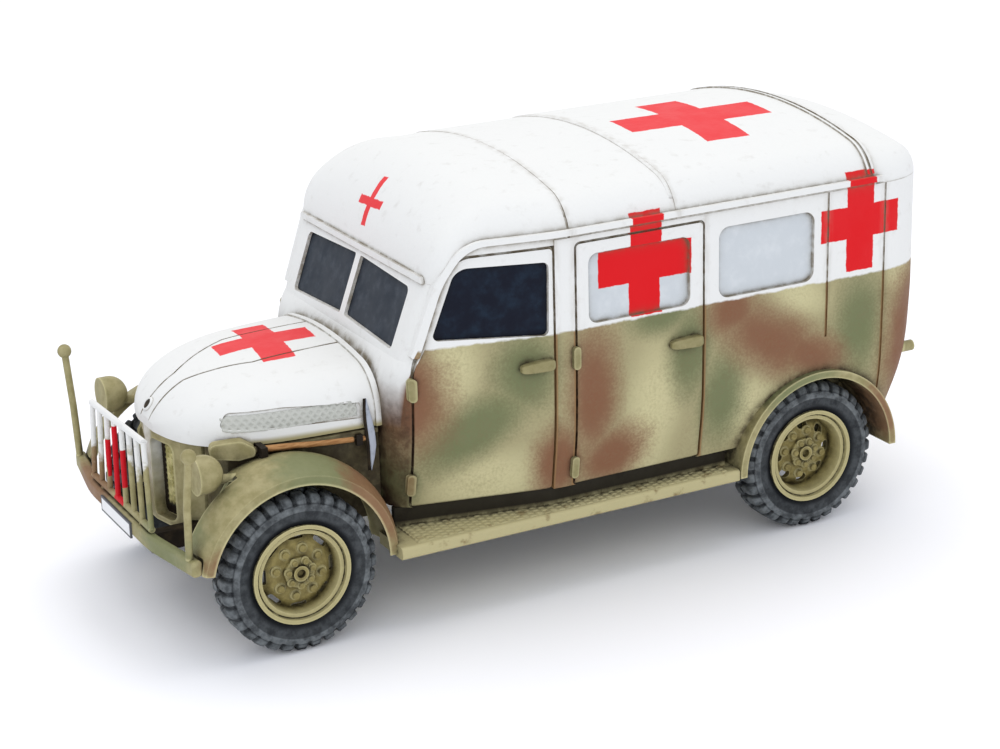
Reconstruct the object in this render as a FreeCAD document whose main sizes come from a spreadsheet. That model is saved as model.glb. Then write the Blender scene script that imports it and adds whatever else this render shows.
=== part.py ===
import FreeCAD, Part
import math
import os

import Sketcher

Vector = FreeCAD.Vector
X_AXIS, Y_AXIS, Z_AXIS = Vector(1, 0, 0), Vector(0, 1, 0), Vector(0, 0, 1)
SIDES = (("left", 1), ("right", -1))

# Driving sizes in millimetres, at the scale of the model (1:72 of the road vehicle).
# X runs forward, Y to the vehicle's left, Z up, and the tyres stand on Z = 0.
SIZES = {
    # wheels and axles
    "front_axle_x": 23.55,
    "rear_axle_x": -21.55,
    "tyre_radius": 6.15,
    "tyre_width": 3.1,
    "tyre_outer_y": 13.15,
    "rim_radius": 3.87,
    "bead_radius": 3.52,
    "stub_radius": 0.6,
    "bore_radius": 0.65,
    "front_dish": 0.0,
    "rear_dish": 0.45,
    "front_slot_ring": 2.68,
    "front_slot_radius": 0.17,
    "front_slot_half": 0.45,
    "rear_slot_ring": 2.3,
    "rear_slot_radius": 0.34,
    "rear_slot_half": 0.12,
    "disc_slots": 8,
    # body shell
    "wall": 0.9,
    "sill_z": 8.4,
    "cowl_z": 20.2,
    "gutter_z": 28.4,
    "door_top_z": 28.0,
    "body_half": 13.9,
    "door_front_x": 13.94,
    "taper_start_x": 2.42,
    "cab_half": 11.9,
    "rear_x": -33.0,
    "rear_corner": 5.0,
    "front_corner": 2.4,
    # roof
    "crown_z": 32.85,
    "crown_radius": 45.0,
    "visor_z": 25.9,
    "visor_x": 9.9,
    "cab_seam_x": 1.1,
    "lap_seam_x": -8.2,
    "rear_seam_x": -26.8,
    # openings
    "pane_recess": 0.3,
    "pane_thick": 0.4,
    "shut_gap": 0.2,
    "shut_depth": 0.3,
    "groove_width": 0.2,
    "groove_depth": 0.12,
    # front end
    "bonnet_base_z": 15.0,
    "bumper_x": 33.0,
    "bumper_z": 7.7,
    "bumper_height": 1.3,
    "guard_x": 32.4,
    "guard_bars": 8,
    "lamp_x": 29.5,
    "lamp_y": 10.1,
    "lamp_z": 14.3,
    "lamp_radius": 1.45,
    "pole_radius": 0.28,
    "shell_front_x": 30.15,
    "shell_top_z": 14.95,
    "shell_bottom_z": 6.9,
    "shell_arch_z": 7.7,
    "shell_side_y": 5.0,
    "mesh_low_z": 8.1,
    "mesh_high_z": 14.3,
    "mesh_inner_y": 0.55,
    "mesh_outer_y": 3.3,
    # mudguards and boards
    "arch_radius": 7.0,
    "arch_thick": 0.6,
    "flare_y": 14.3,
    "board_outer_y": 14.2,
    "board_inner_y": 10.2,
    "board_z": 5.9,
    "board_thick": 1.0,
    # chassis
    "rail_y": 4.2,
    "rail_width": 1.0,
    "rail_z": 6.9,
    "skid_plate_z": 5.8,
    "axle_tube_radius": 0.75,
}

doc = FreeCAD.newDocument("military_ambulance_truck")
sheet = doc.addObject("Spreadsheet::Sheet", "Sizes")
for row, (alias, value) in enumerate(SIZES.items(), start=1):
    sheet.set(f"A{row}", alias)
    sheet.set(f"B{row}", str(value))
    sheet.setAlias(f"B{row}", alias)
doc.recompute()
SUB_PARTS = []


def size(alias):
    """One driving size, read from the sheet."""
    return float(sheet.get(alias))


# ---------------------------------------------------------------- outlines and solids

def place(plane, a, b, offset):
    """Point (a, b) of a drawing plane, moved by offset along the plane's normal."""
    return {"XY": Vector(a, b, offset), "XZ": Vector(a, offset, b), "YZ": Vector(offset, a, b)}[plane]


def rounded_wire(corners, plane, offset):
    """Closed wire of straight runs joined by tangent arcs. Each corner is (a, b, radius)."""
    count = len(corners)
    edges, joints = [], []
    for i, (a, b, radius) in enumerate(corners):
        corner = Vector(a, b, 0)
        before = Vector(*corners[i - 1][:2], 0) - corner
        after = Vector(*corners[(i + 1) % count][:2], 0) - corner
        before.normalize()
        after.normalize()
        half_angle = before.getAngle(after) / 2
        if radius <= 0 or half_angle > math.pi / 2 - 1e-4:
            joints.append((corner, corner, corner))
            continue
        run = radius / math.tan(half_angle)
        middle = before + after
        middle.normalize()
        reach = radius / math.sin(half_angle) - radius
        joints.append((corner + before * run, corner + middle * reach, corner + after * run))
    for i, (start, middle, end) in enumerate(joints):
        start, middle, end = (place(plane, p.x, p.y, offset) for p in (start, middle, end))
        following = joints[(i + 1) % count][0]
        following = place(plane, following.x, following.y, offset)
        if start.distanceToPoint(end) > 1e-6:
            edges.append(Part.Arc(start, middle, end).toShape())
        if end.distanceToPoint(following) > 1e-6:
            edges.append(Part.LineSegment(end, following).toShape())
    return Part.Wire(edges)


def prism(corners, plane, start, end):
    """Solid of a rounded outline, drawn out along its plane's normal from start to end."""
    face = Part.Face(rounded_wire(corners, plane, start))
    return face.extrude(place(plane, 0, 0, end - start))


def box(x_low, x_high, y_low, y_high, z_low, z_high):
    """Plain block between two corners."""
    return Part.makeBox(x_high - x_low, y_high - y_low, z_high - z_low, Vector(x_low, y_low, z_low))


def cylinder_y(radius, x, z, y_low, y_high):
    """Cylinder whose axis runs across the vehicle."""
    return Part.makeCylinder(radius, y_high - y_low, Vector(x, y_low, z), Y_AXIS)


def rod(start, end, radius):
    """Round bar from one point to another."""
    run = end - start
    return Part.makeCylinder(radius, run.Length, start, run)


def turned(face, centre, axis, angle):
    """Solid swept by a face about an axis, with its faces outward."""
    solid = face.revolve(centre, axis, angle)
    if solid.Volume < 0:
        solid.reverse()
    return solid


def largest(shape):
    """The biggest solid of a shape, without the slivers cut off beside it."""
    return max(shape.Solids, key=lambda solid: solid.Volume)


def mirrored(shape):
    """The same piece on the vehicle's other side."""
    return shape.mirror(Vector(0, 0, 0), Y_AXIS)


def on_side(shape, side):
    """A piece drawn on the left, on the side asked for (1 left, -1 right)."""
    return shape if side == 1 else mirrored(shape)


def sub_part(kind, node, at=Vector(0, 0, 0), turn=0):
    """New sub-part of a kind, labelled with its name, at a point and turned about Z."""
    part = doc.addObject(kind, node)
    part.Label = node
    part.Placement = FreeCAD.Placement(at, FreeCAD.Rotation(Z_AXIS, turn))
    SUB_PARTS.append(part)
    return part


def feature(node, shape):
    """Sub-part whose shape comes from Part's functions."""
    sub_part("Part::Feature", node).Shape = shape


def value_of(text):
    """Number that an expression of the sheet gives."""
    value = sheet.evalExpression(text)
    return float(getattr(value, "Value", value))


def base_sketch(body, name, role, offset=0):
    """Empty sketch on one of a body's own origin planes, moved along the plane's normal."""
    sketch = body.newObject("Sketcher::SketchObject", name)
    plane = next(item for item in body.Origin.OriginFeatures if item.Role == role)
    sketch.AttachmentSupport = [(plane, "")]
    sketch.MapMode = "FlatFace"
    sketch.AttachmentOffset = FreeCAD.Placement(Vector(0, 0, offset), FreeCAD.Rotation())
    return sketch


def outline_sketch(body, name, role, corners, offset=0):
    """Closed sketch of straight runs. Each corner is a pair of expressions, and both hold it in place."""
    sketch = base_sketch(body, name, role, offset)
    points = [Vector(value_of(a), value_of(b), 0) for a, b in corners]
    for i, start in enumerate(points):
        sketch.addGeometry(Part.LineSegment(start, points[(i + 1) % len(points)]))
    for i, texts in enumerate(corners):
        sketch.addConstraint(Sketcher.Constraint("Coincident", i, 2, (i + 1) % len(points), 1))
        for kind, text in zip(("DistanceX", "DistanceY"), texts):
            index = sketch.addConstraint(Sketcher.Constraint(kind, -1, 1, i, 1, value_of(text)))
            sketch.setExpression(f"Constraints[{index}]", text)
    return sketch


def slot_sketch(body, name, role, across, half, radius):
    """Sketch of one slot along the plane's second axis: two half circles joined by tangent runs."""
    sketch = base_sketch(body, name, role)
    a, run, r = value_of(across), value_of(half), value_of(radius)
    for up in (1, -1):
        circle = Part.Circle(Vector(a, up * run, 0), Z_AXIS, r)
        start = 0 if up == 1 else math.pi
        sketch.addGeometry(Part.ArcOfCircle(circle, start, start + math.pi))
    sketch.addGeometry(Part.LineSegment(Vector(a - r, run, 0), Vector(a - r, -run, 0)))
    sketch.addGeometry(Part.LineSegment(Vector(a + r, -run, 0), Vector(a + r, run, 0)))
    for joint in ((0, 2, 2, 1), (2, 2, 1, 1), (1, 2, 3, 1), (3, 2, 0, 1)):
        sketch.addConstraint(Sketcher.Constraint("Tangent", *joint))
    for arc, text in ((0, half), (1, f"-{half}")):
        for kind, place_text in (("DistanceX", across), ("DistanceY", text)):
            index = sketch.addConstraint(Sketcher.Constraint(kind, -1, 1, arc, 3, value_of(place_text)))
            sketch.setExpression(f"Constraints[{index}]", place_text)
    index = sketch.addConstraint(Sketcher.Constraint("Radius", 0, r))
    sketch.setExpression(f"Constraints[{index}]", radius)
    return sketch


def edges_where(shape, test):
    """Names of the edges whose ends and middle all pass a test."""
    names = []
    for i, edge in enumerate(shape.Edges, start=1):
        middle = edge.valueAt((edge.FirstParameter + edge.LastParameter) / 2)
        if all(test(point) for point in [middle] + [corner.Point for corner in edge.Vertexes]):
            names.append(f"Edge{i}")
    return names


# ---------------------------------------------------------------- body envelope

# Plan outlines of the body, from the sill up to the cowl.
# Columns: height, front face x, half-width at the door's front edge, half-width, rear face x
LOWER_WALL = (
    (size("sill_z"), 14.8, 10.55, 13.14, -31.2),
    (11.5, 14.95, 11.15, 13.55, -32.2),
    (15.0, 15.0, 11.65, 13.82, -32.8),
    (17.6, 14.95, 11.8, 13.87, -32.95),
    (19.2, 14.55, 11.87, 13.9, -33.0),
    (size("cowl_z"), 13.98, 11.9, 13.9, -33.0),
)
# The same columns from the cowl up to the roof: the front face leans back with the windscreen.
UPPER_WALL = (
    (size("cowl_z"), 13.98, 11.9, 13.9, -33.0),
    (30.0, 10.34, 11.9, 13.9, -33.0),
)


def plan_outline(row, inset):
    """Wire of one plan outline, drawn in by inset."""
    z, front, door_half, half, rear = row
    kink = size("taper_start_x")
    slope = (half - door_half) / (size("door_front_x") - kink)
    front, rear, half = front - inset, rear + inset, half - inset
    front_half = half - (front - kink) * slope
    front_r = size("front_corner") - inset
    rear_r = size("rear_corner") - inset
    corners = [(front, -front_half, front_r), (front, front_half, front_r), (kink, half, 15.0),
               (rear, half, rear_r), (rear, -half, rear_r), (kink, -half, 15.0)]
    return rounded_wire(corners, "XY", z)


def envelope(inset):
    """Solid inside the body's outer face, from the sill to above the gutter, drawn in by inset."""
    lower = Part.makeLoft([plan_outline(row, inset) for row in LOWER_WALL], True, False)
    upper = Part.makeLoft([plan_outline(row, inset) for row in UPPER_WALL], True, True)
    return lower.fuse(upper)


PANE_BACK = size("pane_recess") + size("pane_thick")
ENVELOPE = {inset: envelope(inset) for inset in (
    -0.35, 0.0, size("groove_depth"), size("shut_depth"), PANE_BACK, size("wall"))}


def layer(outer, inner):
    """Skin of the body between two insets."""
    return ENVELOPE[outer].cut(ENVELOPE[inner])


# ---------------------------------------------------------------- roof

# Roof arches along the vehicle. Columns: x, crown height, crown radius, corner radius
FRONT_ARCHES = ((1.1, 32.85, 45, 3.6), (4.9, 32.85, 45, 3.6), (7.3, 32.45, 48, 3.3),
                (9.3, 31.3, 58, 2.6), (10.7, 29.75, 80, 1.8), (11.5, 28.1, 120, 1.0), (11.82, 26.7, 170, 0.4))
REAR_ARCHES = ((-26.8, 32.5, 45, 3.5), (-28.2, 32.45, 45, 3.4), (-30.0, 32.1, 47, 3.1),
               (-31.6, 31.3, 60, 2.2), (-32.55, 29.95, 110, 1.1), (-32.9, 29.1, 200, 0.25))

VISOR_LIP = 0.25
LAP_RISE = 0.12
RIB_X = (-26.5, -26.05)


def roof_half(x):
    """Half-width of the body at the gutter, at any x."""
    half, kink = size("body_half"), size("taper_start_x")
    rear_r, front_r = size("rear_corner"), size("front_corner")
    rear_centre = size("rear_x") + rear_r
    front_face = UPPER_WALL[0][1] + (UPPER_WALL[1][1] - UPPER_WALL[0][1]) * (
        (size("visor_z") - size("cowl_z")) / (UPPER_WALL[1][0] - UPPER_WALL[0][0]))
    slope = (half - size("cab_half")) / (size("door_front_x") - kink)
    if x < rear_centre:
        return half - rear_r + math.sqrt(rear_r ** 2 - (x - rear_centre) ** 2)
    if x <= kink:
        return half
    front_centre = front_face - front_r
    if x <= front_centre:
        return half - (x - kink) * slope
    return half - (front_centre - kink) * slope - front_r + math.sqrt(front_r ** 2 - (x - front_centre) ** 2)


def arch(row, base, inset):
    """Closed wire across the roof: straight sides, two corner arcs and the crown."""
    x, crown, crown_r, corner_r = row
    half = roof_half(x) - inset
    crown, crown_r, corner_r = crown - inset, crown_r - inset, max(corner_r - inset, 0.15)
    centre = Vector(x, 0, crown - crown_r)
    corner_y = half - corner_r
    corner_z = centre.z + math.sqrt((crown_r - corner_r) ** 2 - corner_y ** 2)
    corner = Vector(x, corner_y, corner_z)
    outward = corner - centre
    outward.normalize()
    between = outward + Y_AXIS
    between.normalize()
    foot, spring = Vector(x, half, base), Vector(x, half, corner_z)
    bend, shoulder = corner + between * corner_r, corner + outward * corner_r
    other = [Vector(p.x, -p.y, p.z) for p in (foot, spring, bend, shoulder)]
    top = Vector(x, 0, crown)
    return Part.Wire([
        Part.LineSegment(foot, spring).toShape(), Part.Arc(spring, bend, shoulder).toShape(),
        Part.Arc(shoulder, top, other[3]).toShape(), Part.Arc(other[3], other[2], other[1]).toShape(),
        Part.LineSegment(other[1], other[0]).toShape(), Part.LineSegment(other[0], foot).toShape()])


def roof_block(rows, inset):
    """Solid under a run of roof arches, from below the windscreen's top edge."""
    base = size("visor_z") - 1 - inset
    return Part.makeLoft([arch(row, base, inset) for row in rows], True, len(rows) == 2)


def roof_shell(rows):
    """Roof panel over a run of arches, one wall thick and open below."""
    return roof_block(rows, 0).cut(roof_block(rows, size("wall")))


def flat_rows(high, low, raised=0.0):
    """Two equal arches that bound a straight run of roof."""
    return [(x, size("crown_z") + raised, size("crown_radius"), 3.6) for x in (high, low)]


def roof_strip(x, width, low, high):
    """Band across the straight roof between two heights measured from its surface."""
    rows = flat_rows(x + width / 2, x - width / 2)
    return roof_block(rows, -high).cut(roof_block(rows, -low))


def roof_parts():
    """Four roof panels, split at the seams; the cab's comes down to the windscreen."""
    gutter, visor, wall = size("gutter_z"), size("visor_z"), size("wall")
    cab = roof_shell(FRONT_ARCHES)
    face = Part.Face(arch(FRONT_ARCHES[-1], visor - 1, 0))
    lip = Part.Face(arch(FRONT_ARCHES[-1], visor - 1, -VISOR_LIP)).extrude(X_AXIS * VISOR_LIP)
    lip = lip.common(box(0, 20, -20, 20, visor, visor + 2 * VISOR_LIP))
    cab = cab.fuse(face.extrude(X_AXIS * -wall)).fuse(lip)
    cab = cab.cut(box(0, size("taper_start_x"), -20, 20, 0, gutter))
    cab = cab.cut(box(0, size("visor_x"), -20, 20, 0, size("door_top_z")))
    cab = cab.cut(box(0, 20, -20, 20, 0, visor))
    opening = through(FRONT_DOOR, "XZ", SIDE_REACH)
    seams = (size("cab_seam_x"), size("lap_seam_x"), size("rear_seam_x"))
    groove = roof_strip(seams[0] + size("groove_width") / 2, size("groove_width"), -size("groove_depth"), 0.5)
    feature("roof_cab", cab.cut(opening).cut(mirrored(opening)).cut(groove))
    below = box(-40, 20, -20, 20, 0, gutter)
    feature("roof_front", roof_shell(flat_rows(seams[0], seams[1])).cut(below))
    middle = roof_shell(flat_rows(seams[1], seams[2], LAP_RISE))
    for x in RIB_X:
        rib = roof_strip(x, size("groove_width"), 0.0, 2 * LAP_RISE)
        middle = middle.fuse(rib.cut(box(-40, 0, -20, 20, 0, gutter + 0.9)))
    feature("roof_middle", middle.cut(below))
    rear = roof_shell(REAR_ARCHES)
    face = Part.Face(arch(REAR_ARCHES[-1], visor, 0))
    feature("roof_rear", rear.fuse(face.extrude(X_AXIS * wall)).cut(below))


# ---------------------------------------------------------------- doors and windows

# Outlines in side view, as (x, z, corner radius).
FRONT_DOOR = ((13.6, 8.4, 0.3), (13.6, 19.4, 4.0), (10.4, 28.0, 2.2), (2.42, 28.0, 0.5), (2.42, 8.4, 0.3))
FRONT_DOOR_WINDOW = ((12.0, 21.8, 0.4), (10.0, 27.1, 1.3), (2.9, 26.8, 0.5), (3.0, 21.1, 0.4))
SIDE_DOOR = ((0.8, 8.4, 0.3), (0.8, 28.0, 0.5), (-10.73, 28.0, 0.5), (-10.73, 8.4, 0.3))
SIDE_DOOR_WINDOW = ((-0.4, 21.4, 0.8), (-0.4, 26.9, 0.8), (-9.4, 26.9, 0.8), (-9.4, 21.4, 0.8))
SIDE_WINDOW = ((-12.0, 21.4, 0.9), (-12.0, 27.1, 0.9), (-20.9, 27.1, 0.9), (-20.9, 21.4, 0.9))
# Outlines seen from behind, as (y, z, corner radius), for the left leaf of the pair.
REAR_DOOR = ((0.0, 9.6, 0.2), (0.0, 27.6, 0.2), (6.6, 27.6, 1.2), (6.6, 9.6, 0.6))
REAR_DOOR_WINDOW = ((1.3, 20.6, 0.7), (1.3, 25.8, 0.7), (5.4, 25.8, 0.7), (5.4, 20.6, 0.7))
# Windscreen pane seen from the front, as (y, z, corner radius), for the left pane.
SCREEN_PANE = ((0.4, 20.95, 0.2), (0.4, 25.5, 0.2), (9.1, 25.2, 0.5), (9.0, 20.6, 0.4))

# Upright seams in the body panels, as (x, low z, high z).
SEAMS = ((-22.2, 16.5, 28.4), (-27.7, 9.5, 28.4))

SIDE_REACH = (9.6, 20.0)
REAR_REACH = (-40.0, -25.0)
FRONT_REACH = (5.0, 20.0)


def grown(corners, margin):
    """An outline drawn in by margin on every side, about its own middle."""
    middle_a = (min(c[0] for c in corners) + max(c[0] for c in corners)) / 2
    middle_b = (min(c[1] for c in corners) + max(c[1] for c in corners)) / 2
    return tuple((a - math.copysign(margin, a - middle_a), b - math.copysign(margin, b - middle_b),
                  max(radius - margin, 0.05)) for a, b, radius in corners)


def through(corners, plane, reach, margin=0.0):
    """Cutter that runs through one wall of the body."""
    return prism(grown(corners, margin), plane, *reach)


def door(corners, window, plane, reach):
    """Door as thick as the wall, with its window cut and its outer edge set back all round."""
    blank = layer(0.0, size("wall")).common(through(corners, plane, reach))
    rim = through(corners, plane, reach).cut(through(corners, plane, reach, size("shut_gap")))
    blank = blank.cut(rim.common(layer(0.0, size("shut_depth"))))
    return blank.cut(through(window, plane, reach))


def pane(corners, plane, reach):
    """Window pane seated in its opening, a little below the outer face."""
    return layer(size("shut_depth"), PANE_BACK).common(through(corners, plane, reach))


def arch_well(end, y_low):
    """Room that a wheel arch takes, from y_low outward on the left."""
    radius = size("arch_radius") + size("arch_thick")
    return cylinder_y(radius, size(f"{end}_axle_x"), size("tyre_radius"), y_low, 20)


def body_walls():
    """Cab and load body around the doors and windows, split at the post between the doors."""
    walls = layer(0.0, size("wall"))
    walls = walls.cut(box(-40, 20, -20, 20, size("gutter_z"), 40))
    walls = walls.cut(box(size("taper_start_x"), 20, -20, 20, size("door_top_z"), 40))
    walls = walls.cut(box(size("visor_x"), 20, -20, 20, size("visor_z"), 40))
    for name, side in SIDES:
        for corners in (FRONT_DOOR, SIDE_DOOR, SIDE_WINDOW):
            walls = walls.cut(on_side(through(corners, "XZ", SIDE_REACH), side))
        walls = walls.cut(on_side(through(REAR_DOOR, "YZ", REAR_REACH), side))
        walls = walls.cut(on_side(through(SCREEN_PANE, "YZ", FRONT_REACH), side))
        walls = walls.cut(on_side(arch_well("rear", 5), side))
    post, half_width = size("taper_start_x"), size("groove_width") / 2
    skin = layer(0.0, size("groove_depth"))
    for x, low, high in SEAMS:
        seam = box(x - half_width, x + half_width, -20, 20, low, high).cut(box(-40, 20, -5, 5, 0, 40))
        walls = walls.cut(skin.common(seam))
    feature("cab_shell", largest(walls.common(box(post, 20, -20, 20, 0, 40))))
    feature("body_shell", walls.common(box(-40, post, -20, 20, 0, 40)))


def doors_and_windows():
    """Each door and pane on both sides."""
    rows = (("front_door", FRONT_DOOR, FRONT_DOOR_WINDOW, "XZ", SIDE_REACH),
            ("side_door", SIDE_DOOR, SIDE_DOOR_WINDOW, "XZ", SIDE_REACH),
            ("rear_door", REAR_DOOR, REAR_DOOR_WINDOW, "YZ", REAR_REACH))
    for node, corners, window, plane, reach in rows:
        leaf = door(corners, window, plane, reach)
        glass = pane(window, plane, reach)
        for name, side in SIDES:
            feature(f"{node}_{name}", on_side(leaf, side))
            feature(f"{node}_window_{name}", on_side(glass, side))
    for node, corners, plane, reach in (("side_window", SIDE_WINDOW, "XZ", SIDE_REACH),
                                        ("windscreen", SCREEN_PANE, "YZ", FRONT_REACH)):
        glass = pane(corners, plane, reach)
        for name, side in SIDES:
            feature(f"{node}_{name}", on_side(glass, side))


def drip_rails():
    """Rain gutter along each side, bending down the windscreen post to the cowl."""
    rise, low = 0.45, size("gutter_z") + 0.25
    crown, radius = size("crown_z"), size("crown_radius")
    outer = ((-27.3, low, 0.1), (-27.3, low + rise, 0.1), (9.6, low + rise, 3.2), (11.5, 26.0, 8.0),
             (13.5, 20.6, 0.1), (13.0, 20.6, 0.1), (11.05, 26.0, 8.0),
             (9.3, low, 2.8))
    strip = prism(outer, "XZ", *SIDE_REACH).common(layer(-0.35, 0.0))
    for rows in (FRONT_ARCHES, [(x, crown, radius, 3.6) for x in (size("cab_seam_x"), size("rear_seam_x"))]):
        strip = strip.cut(roof_block(rows, 0))
    feature("drip_rails", Part.makeCompound([strip, mirrored(strip)]))


# ---------------------------------------------------------------- front end

# Bonnet arches from the cowl to the nose. Columns: x, half-width, crown height, crown radius, corner radius
BONNET_ARCHES = (
    (15.0, 9.3, 19.9, 36, 3.4), (18.6, 9.1, 19.88, 35, 3.4), (21.8, 8.8, 19.75, 33, 3.4),
    (24.5, 8.35, 19.35, 30, 3.2), (26.7, 7.55, 18.65, 26, 2.8), (28.3, 6.3, 17.8, 21, 2.2),
    (29.3, 4.8, 16.95, 16, 1.45), (29.9, 3.1, 16.25, 11, 0.9), (30.2, 1.6, 15.75, 7, 0.45))
# Half outline of the lid in plan, from the cowl to the nose, as (x, y).
LID = ((14.0, 3.0), (22.5, 3.1), (25.4, 1.9), (27.3, 0.95), (29.0, 0.85), (31.0, 0.85))
# Louvre panel in the bonnet's cheek, seen from the side, as (x, z, corner radius).
LOUVRES = ((16.5, 15.8, 0.1), (16.6, 17.0, 0.1), (22.5, 17.5, 6.0), (26.4, 17.4, 0.7), (27.2, 16.3, 0.3))
BEAD = 0.15


def bonnet_arch(row, inset, base):
    """Closed wire across the bonnet, drawn in by inset."""
    x, half, crown, crown_r, corner_r = row
    half, crown, crown_r, corner_r = half - inset, crown - inset, crown_r - inset, corner_r - inset
    centre = Vector(x, 0, crown - crown_r)
    corner = Vector(x, half - corner_r, 0)
    corner.z = centre.z + math.sqrt((crown_r - corner_r) ** 2 - corner.y ** 2)
    outward = corner - centre
    outward.normalize()
    between = outward + Y_AXIS
    between.normalize()
    points = [Vector(x, half, base), Vector(x, half, corner.z), corner + between * corner_r,
              corner + outward * corner_r]
    other = [Vector(p.x, -p.y, p.z) for p in points]
    return Part.Wire([
        Part.LineSegment(points[0], points[1]).toShape(), Part.Arc(*points[1:4]).toShape(),
        Part.Arc(points[3], Vector(x, 0, crown), other[3]).toShape(),
        Part.Arc(other[3], other[2], other[1]).toShape(),
        Part.LineSegment(other[1], other[0]).toShape(), Part.LineSegment(other[0], points[0]).toShape()])


def bonnet_block(inset):
    """Solid bonnet with a rounded nose, drawn in by inset."""
    base = size("bonnet_base_z")
    return Part.makeLoft([bonnet_arch(row, inset, base) for row in BONNET_ARCHES], True, False)


def lid_seam():
    """Cutter that follows both long edges of the bonnet lid."""
    half_width = size("groove_width") / 2
    inner = [Vector(x, y - half_width, 10) for x, y in LID]
    outer = [Vector(x, y + half_width, 10) for x, y in reversed(LID)]
    strip = Part.Face(Part.makePolygon(inner + outer + inner[:1])).extrude(Z_AXIS * 15)
    return strip.fuse(mirrored(strip))


def bonnet():
    """Bonnet with its lid seams, sunk louvre panels and the bead at the cowl."""
    whole, base = bonnet_block(0.0), size("bonnet_base_z")
    skin = whole.cut(bonnet_block(size("groove_depth")))
    louvres = prism(LOUVRES, "XZ", 5.0, 12.0)
    shape = whole.cut(skin.common(lid_seam())).cut(skin.common(louvres)).cut(skin.common(mirrored(louvres)))
    row = BONNET_ARCHES[0]
    rear = [bonnet_arch((x, *row[1:]), -BEAD, base) for x in (row[0], row[0] + 3 * BEAD)]
    feature("bonnet", shape.fuse(Part.makeLoft(rear, True, True)).cut(ENVELOPE[0.0]))


# Outer face of the engine bay's left side in plan, from the cowl to the radiator shell, as (x, y).
PANEL_PLAN = ((15.0, 8.7), (20.0, 8.4), (24.0, 7.95), (26.5, 7.0), (27.6, 5.9))


def panel_block(outward, low, high):
    """Left side of the engine bay as a plate, with its outer face moved outward."""
    thick = 0.6
    outer = [(x, y + outward, 0.0) for x, y in PANEL_PLAN]
    inner = [(x, y - thick, 0.0) for x, y in reversed(PANEL_PLAN)]
    return prism(tuple(outer + inner), "XY", low, high)


def engine_bay():
    """Side panels below the bonnet, each with the ledge that the bonnet shuts on."""
    base = size("bonnet_base_z")
    ledge = panel_block(0.85, base - 0.45, base - 0.1).common(box(15.4, 26.3, 0, 20, 0, 20))
    panel = panel_block(0.0, 7.6, base).fuse(ledge)
    for name, side in SIDES:
        feature(f"bonnet_side_{name}", on_side(panel, side))


def swapped(corners):
    """The same outline on the other side of the middle, as (y, z) texts."""
    return tuple((f"-({y})", z) for y, z in reversed(corners))


def radiator_shell():
    """Rounded shell round the radiator: a plan outline padded upward, with two mesh openings."""
    body = sub_part("PartDesign::Body", "radiator_shell")
    front, side, top = "Sizes.shell_front_x", "Sizes.shell_side_y", "Sizes.shell_top_z"
    half_plan = ((f"{front}", "0.8"), (f"{front} - 0.4", "2.6"), (f"{front} - 1.1", "4.1"),
                 (f"{front} - 2.4", side), (f"{front} - 3.0", side), (f"{front} - 3.0", f"{side} - 0.9"),
                 (f"{front} - 1.9", "3.5"), (f"{front} - 1.2", "2.1"), (f"{front} - 0.9", "0.6"))
    other = tuple((x, f"-({y})") for x, y in reversed(half_plan))
    plan = outline_sketch(body, "shell_plan", "XY_Plane", half_plan + other, size("shell_bottom_z"))
    plan.setExpression("AttachmentOffset.Base.z", "Sizes.shell_bottom_z")
    pad = body.newObject("PartDesign::Pad", "shell_wall")
    pad.Profile = plan
    pad.setExpression("Length", f"{top} - Sizes.shell_bottom_z")
    inner, outer, low, high = (f"Sizes.mesh_{name}" for name in ("inner_y", "outer_y", "low_z", "high_z"))
    slot = ((inner, low), (outer, low), (outer, high), (inner, high))
    below, crest = "Sizes.shell_bottom_z - 1", "Sizes.shell_arch_z"
    foot = (("-3.6", below), ("3.6", below), ("2.9", crest), ("-2.9", crest))
    notch = (("Sizes.rail_y - 0.1", "Sizes.rail_z - 1"), ("Sizes.rail_y + 2", "Sizes.rail_z - 1"),
             ("Sizes.rail_y + 2", "Sizes.sill_z + 0.1"), ("Sizes.rail_y - 0.1", "Sizes.sill_z + 0.1"))
    pockets = (("mesh_opening_left", slot), ("mesh_opening_right", swapped(slot)), ("shell_arch", foot),
               ("rail_notch_left", notch), ("rail_notch_right", swapped(notch)))
    for name, corners in pockets:
        pocket = body.newObject("PartDesign::Pocket", name)
        pocket.Profile = outline_sketch(body, f"{name}_outline", "YZ_Plane", corners)
        pocket.Type = 1
        pocket.Midplane = True
    doc.recompute()
    widths = (size("mesh_inner_y"), size("mesh_outer_y"))
    heights = (size("mesh_low_z"), size("mesh_high_z"))
    corners = edges_where(pocket.Shape, lambda p: min(abs(p.z - z) for z in heights) < 0.01
                          and min(abs(abs(p.y) - y) for y in widths) < 0.01)
    round_off = body.newObject("PartDesign::Fillet", "opening_corners")
    round_off.Base = (pocket, corners)
    round_off.Radius = 0.6
    doc.recompute()
    return body


def radiator_mesh(shell):
    """Sheet seated in the shell's two openings."""
    front = size("shell_front_x")
    plan = ((front - 0.9, -0.5, 0), (front - 0.9, 0.5, 0), (front - 1.3, 2.1, 0), (front - 2.1, 3.9, 0),
            (front - 2.6, 3.9, 0), (front - 1.8, 2.1, 0), (front - 1.4, 0.0, 0), (front - 1.8, -2.1, 0),
            (front - 2.6, -3.9, 0), (front - 2.1, -3.9, 0), (front - 1.3, -2.1, 0))
    sheet_block = prism(plan, "XY", size("mesh_low_z"), size("mesh_high_z"))
    feature("radiator_mesh", largest(sheet_block.cut(shell.Shape)))


# Guard bars end on two rails. Columns: height of the rail's right end, of its left end, half-width, x
GUARD_TOP = (15.5, 15.95, 5.7, size("guard_x"))
GUARD_FOOT = (9.35, 9.3, 6.3, size("guard_x") + 0.1)


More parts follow.
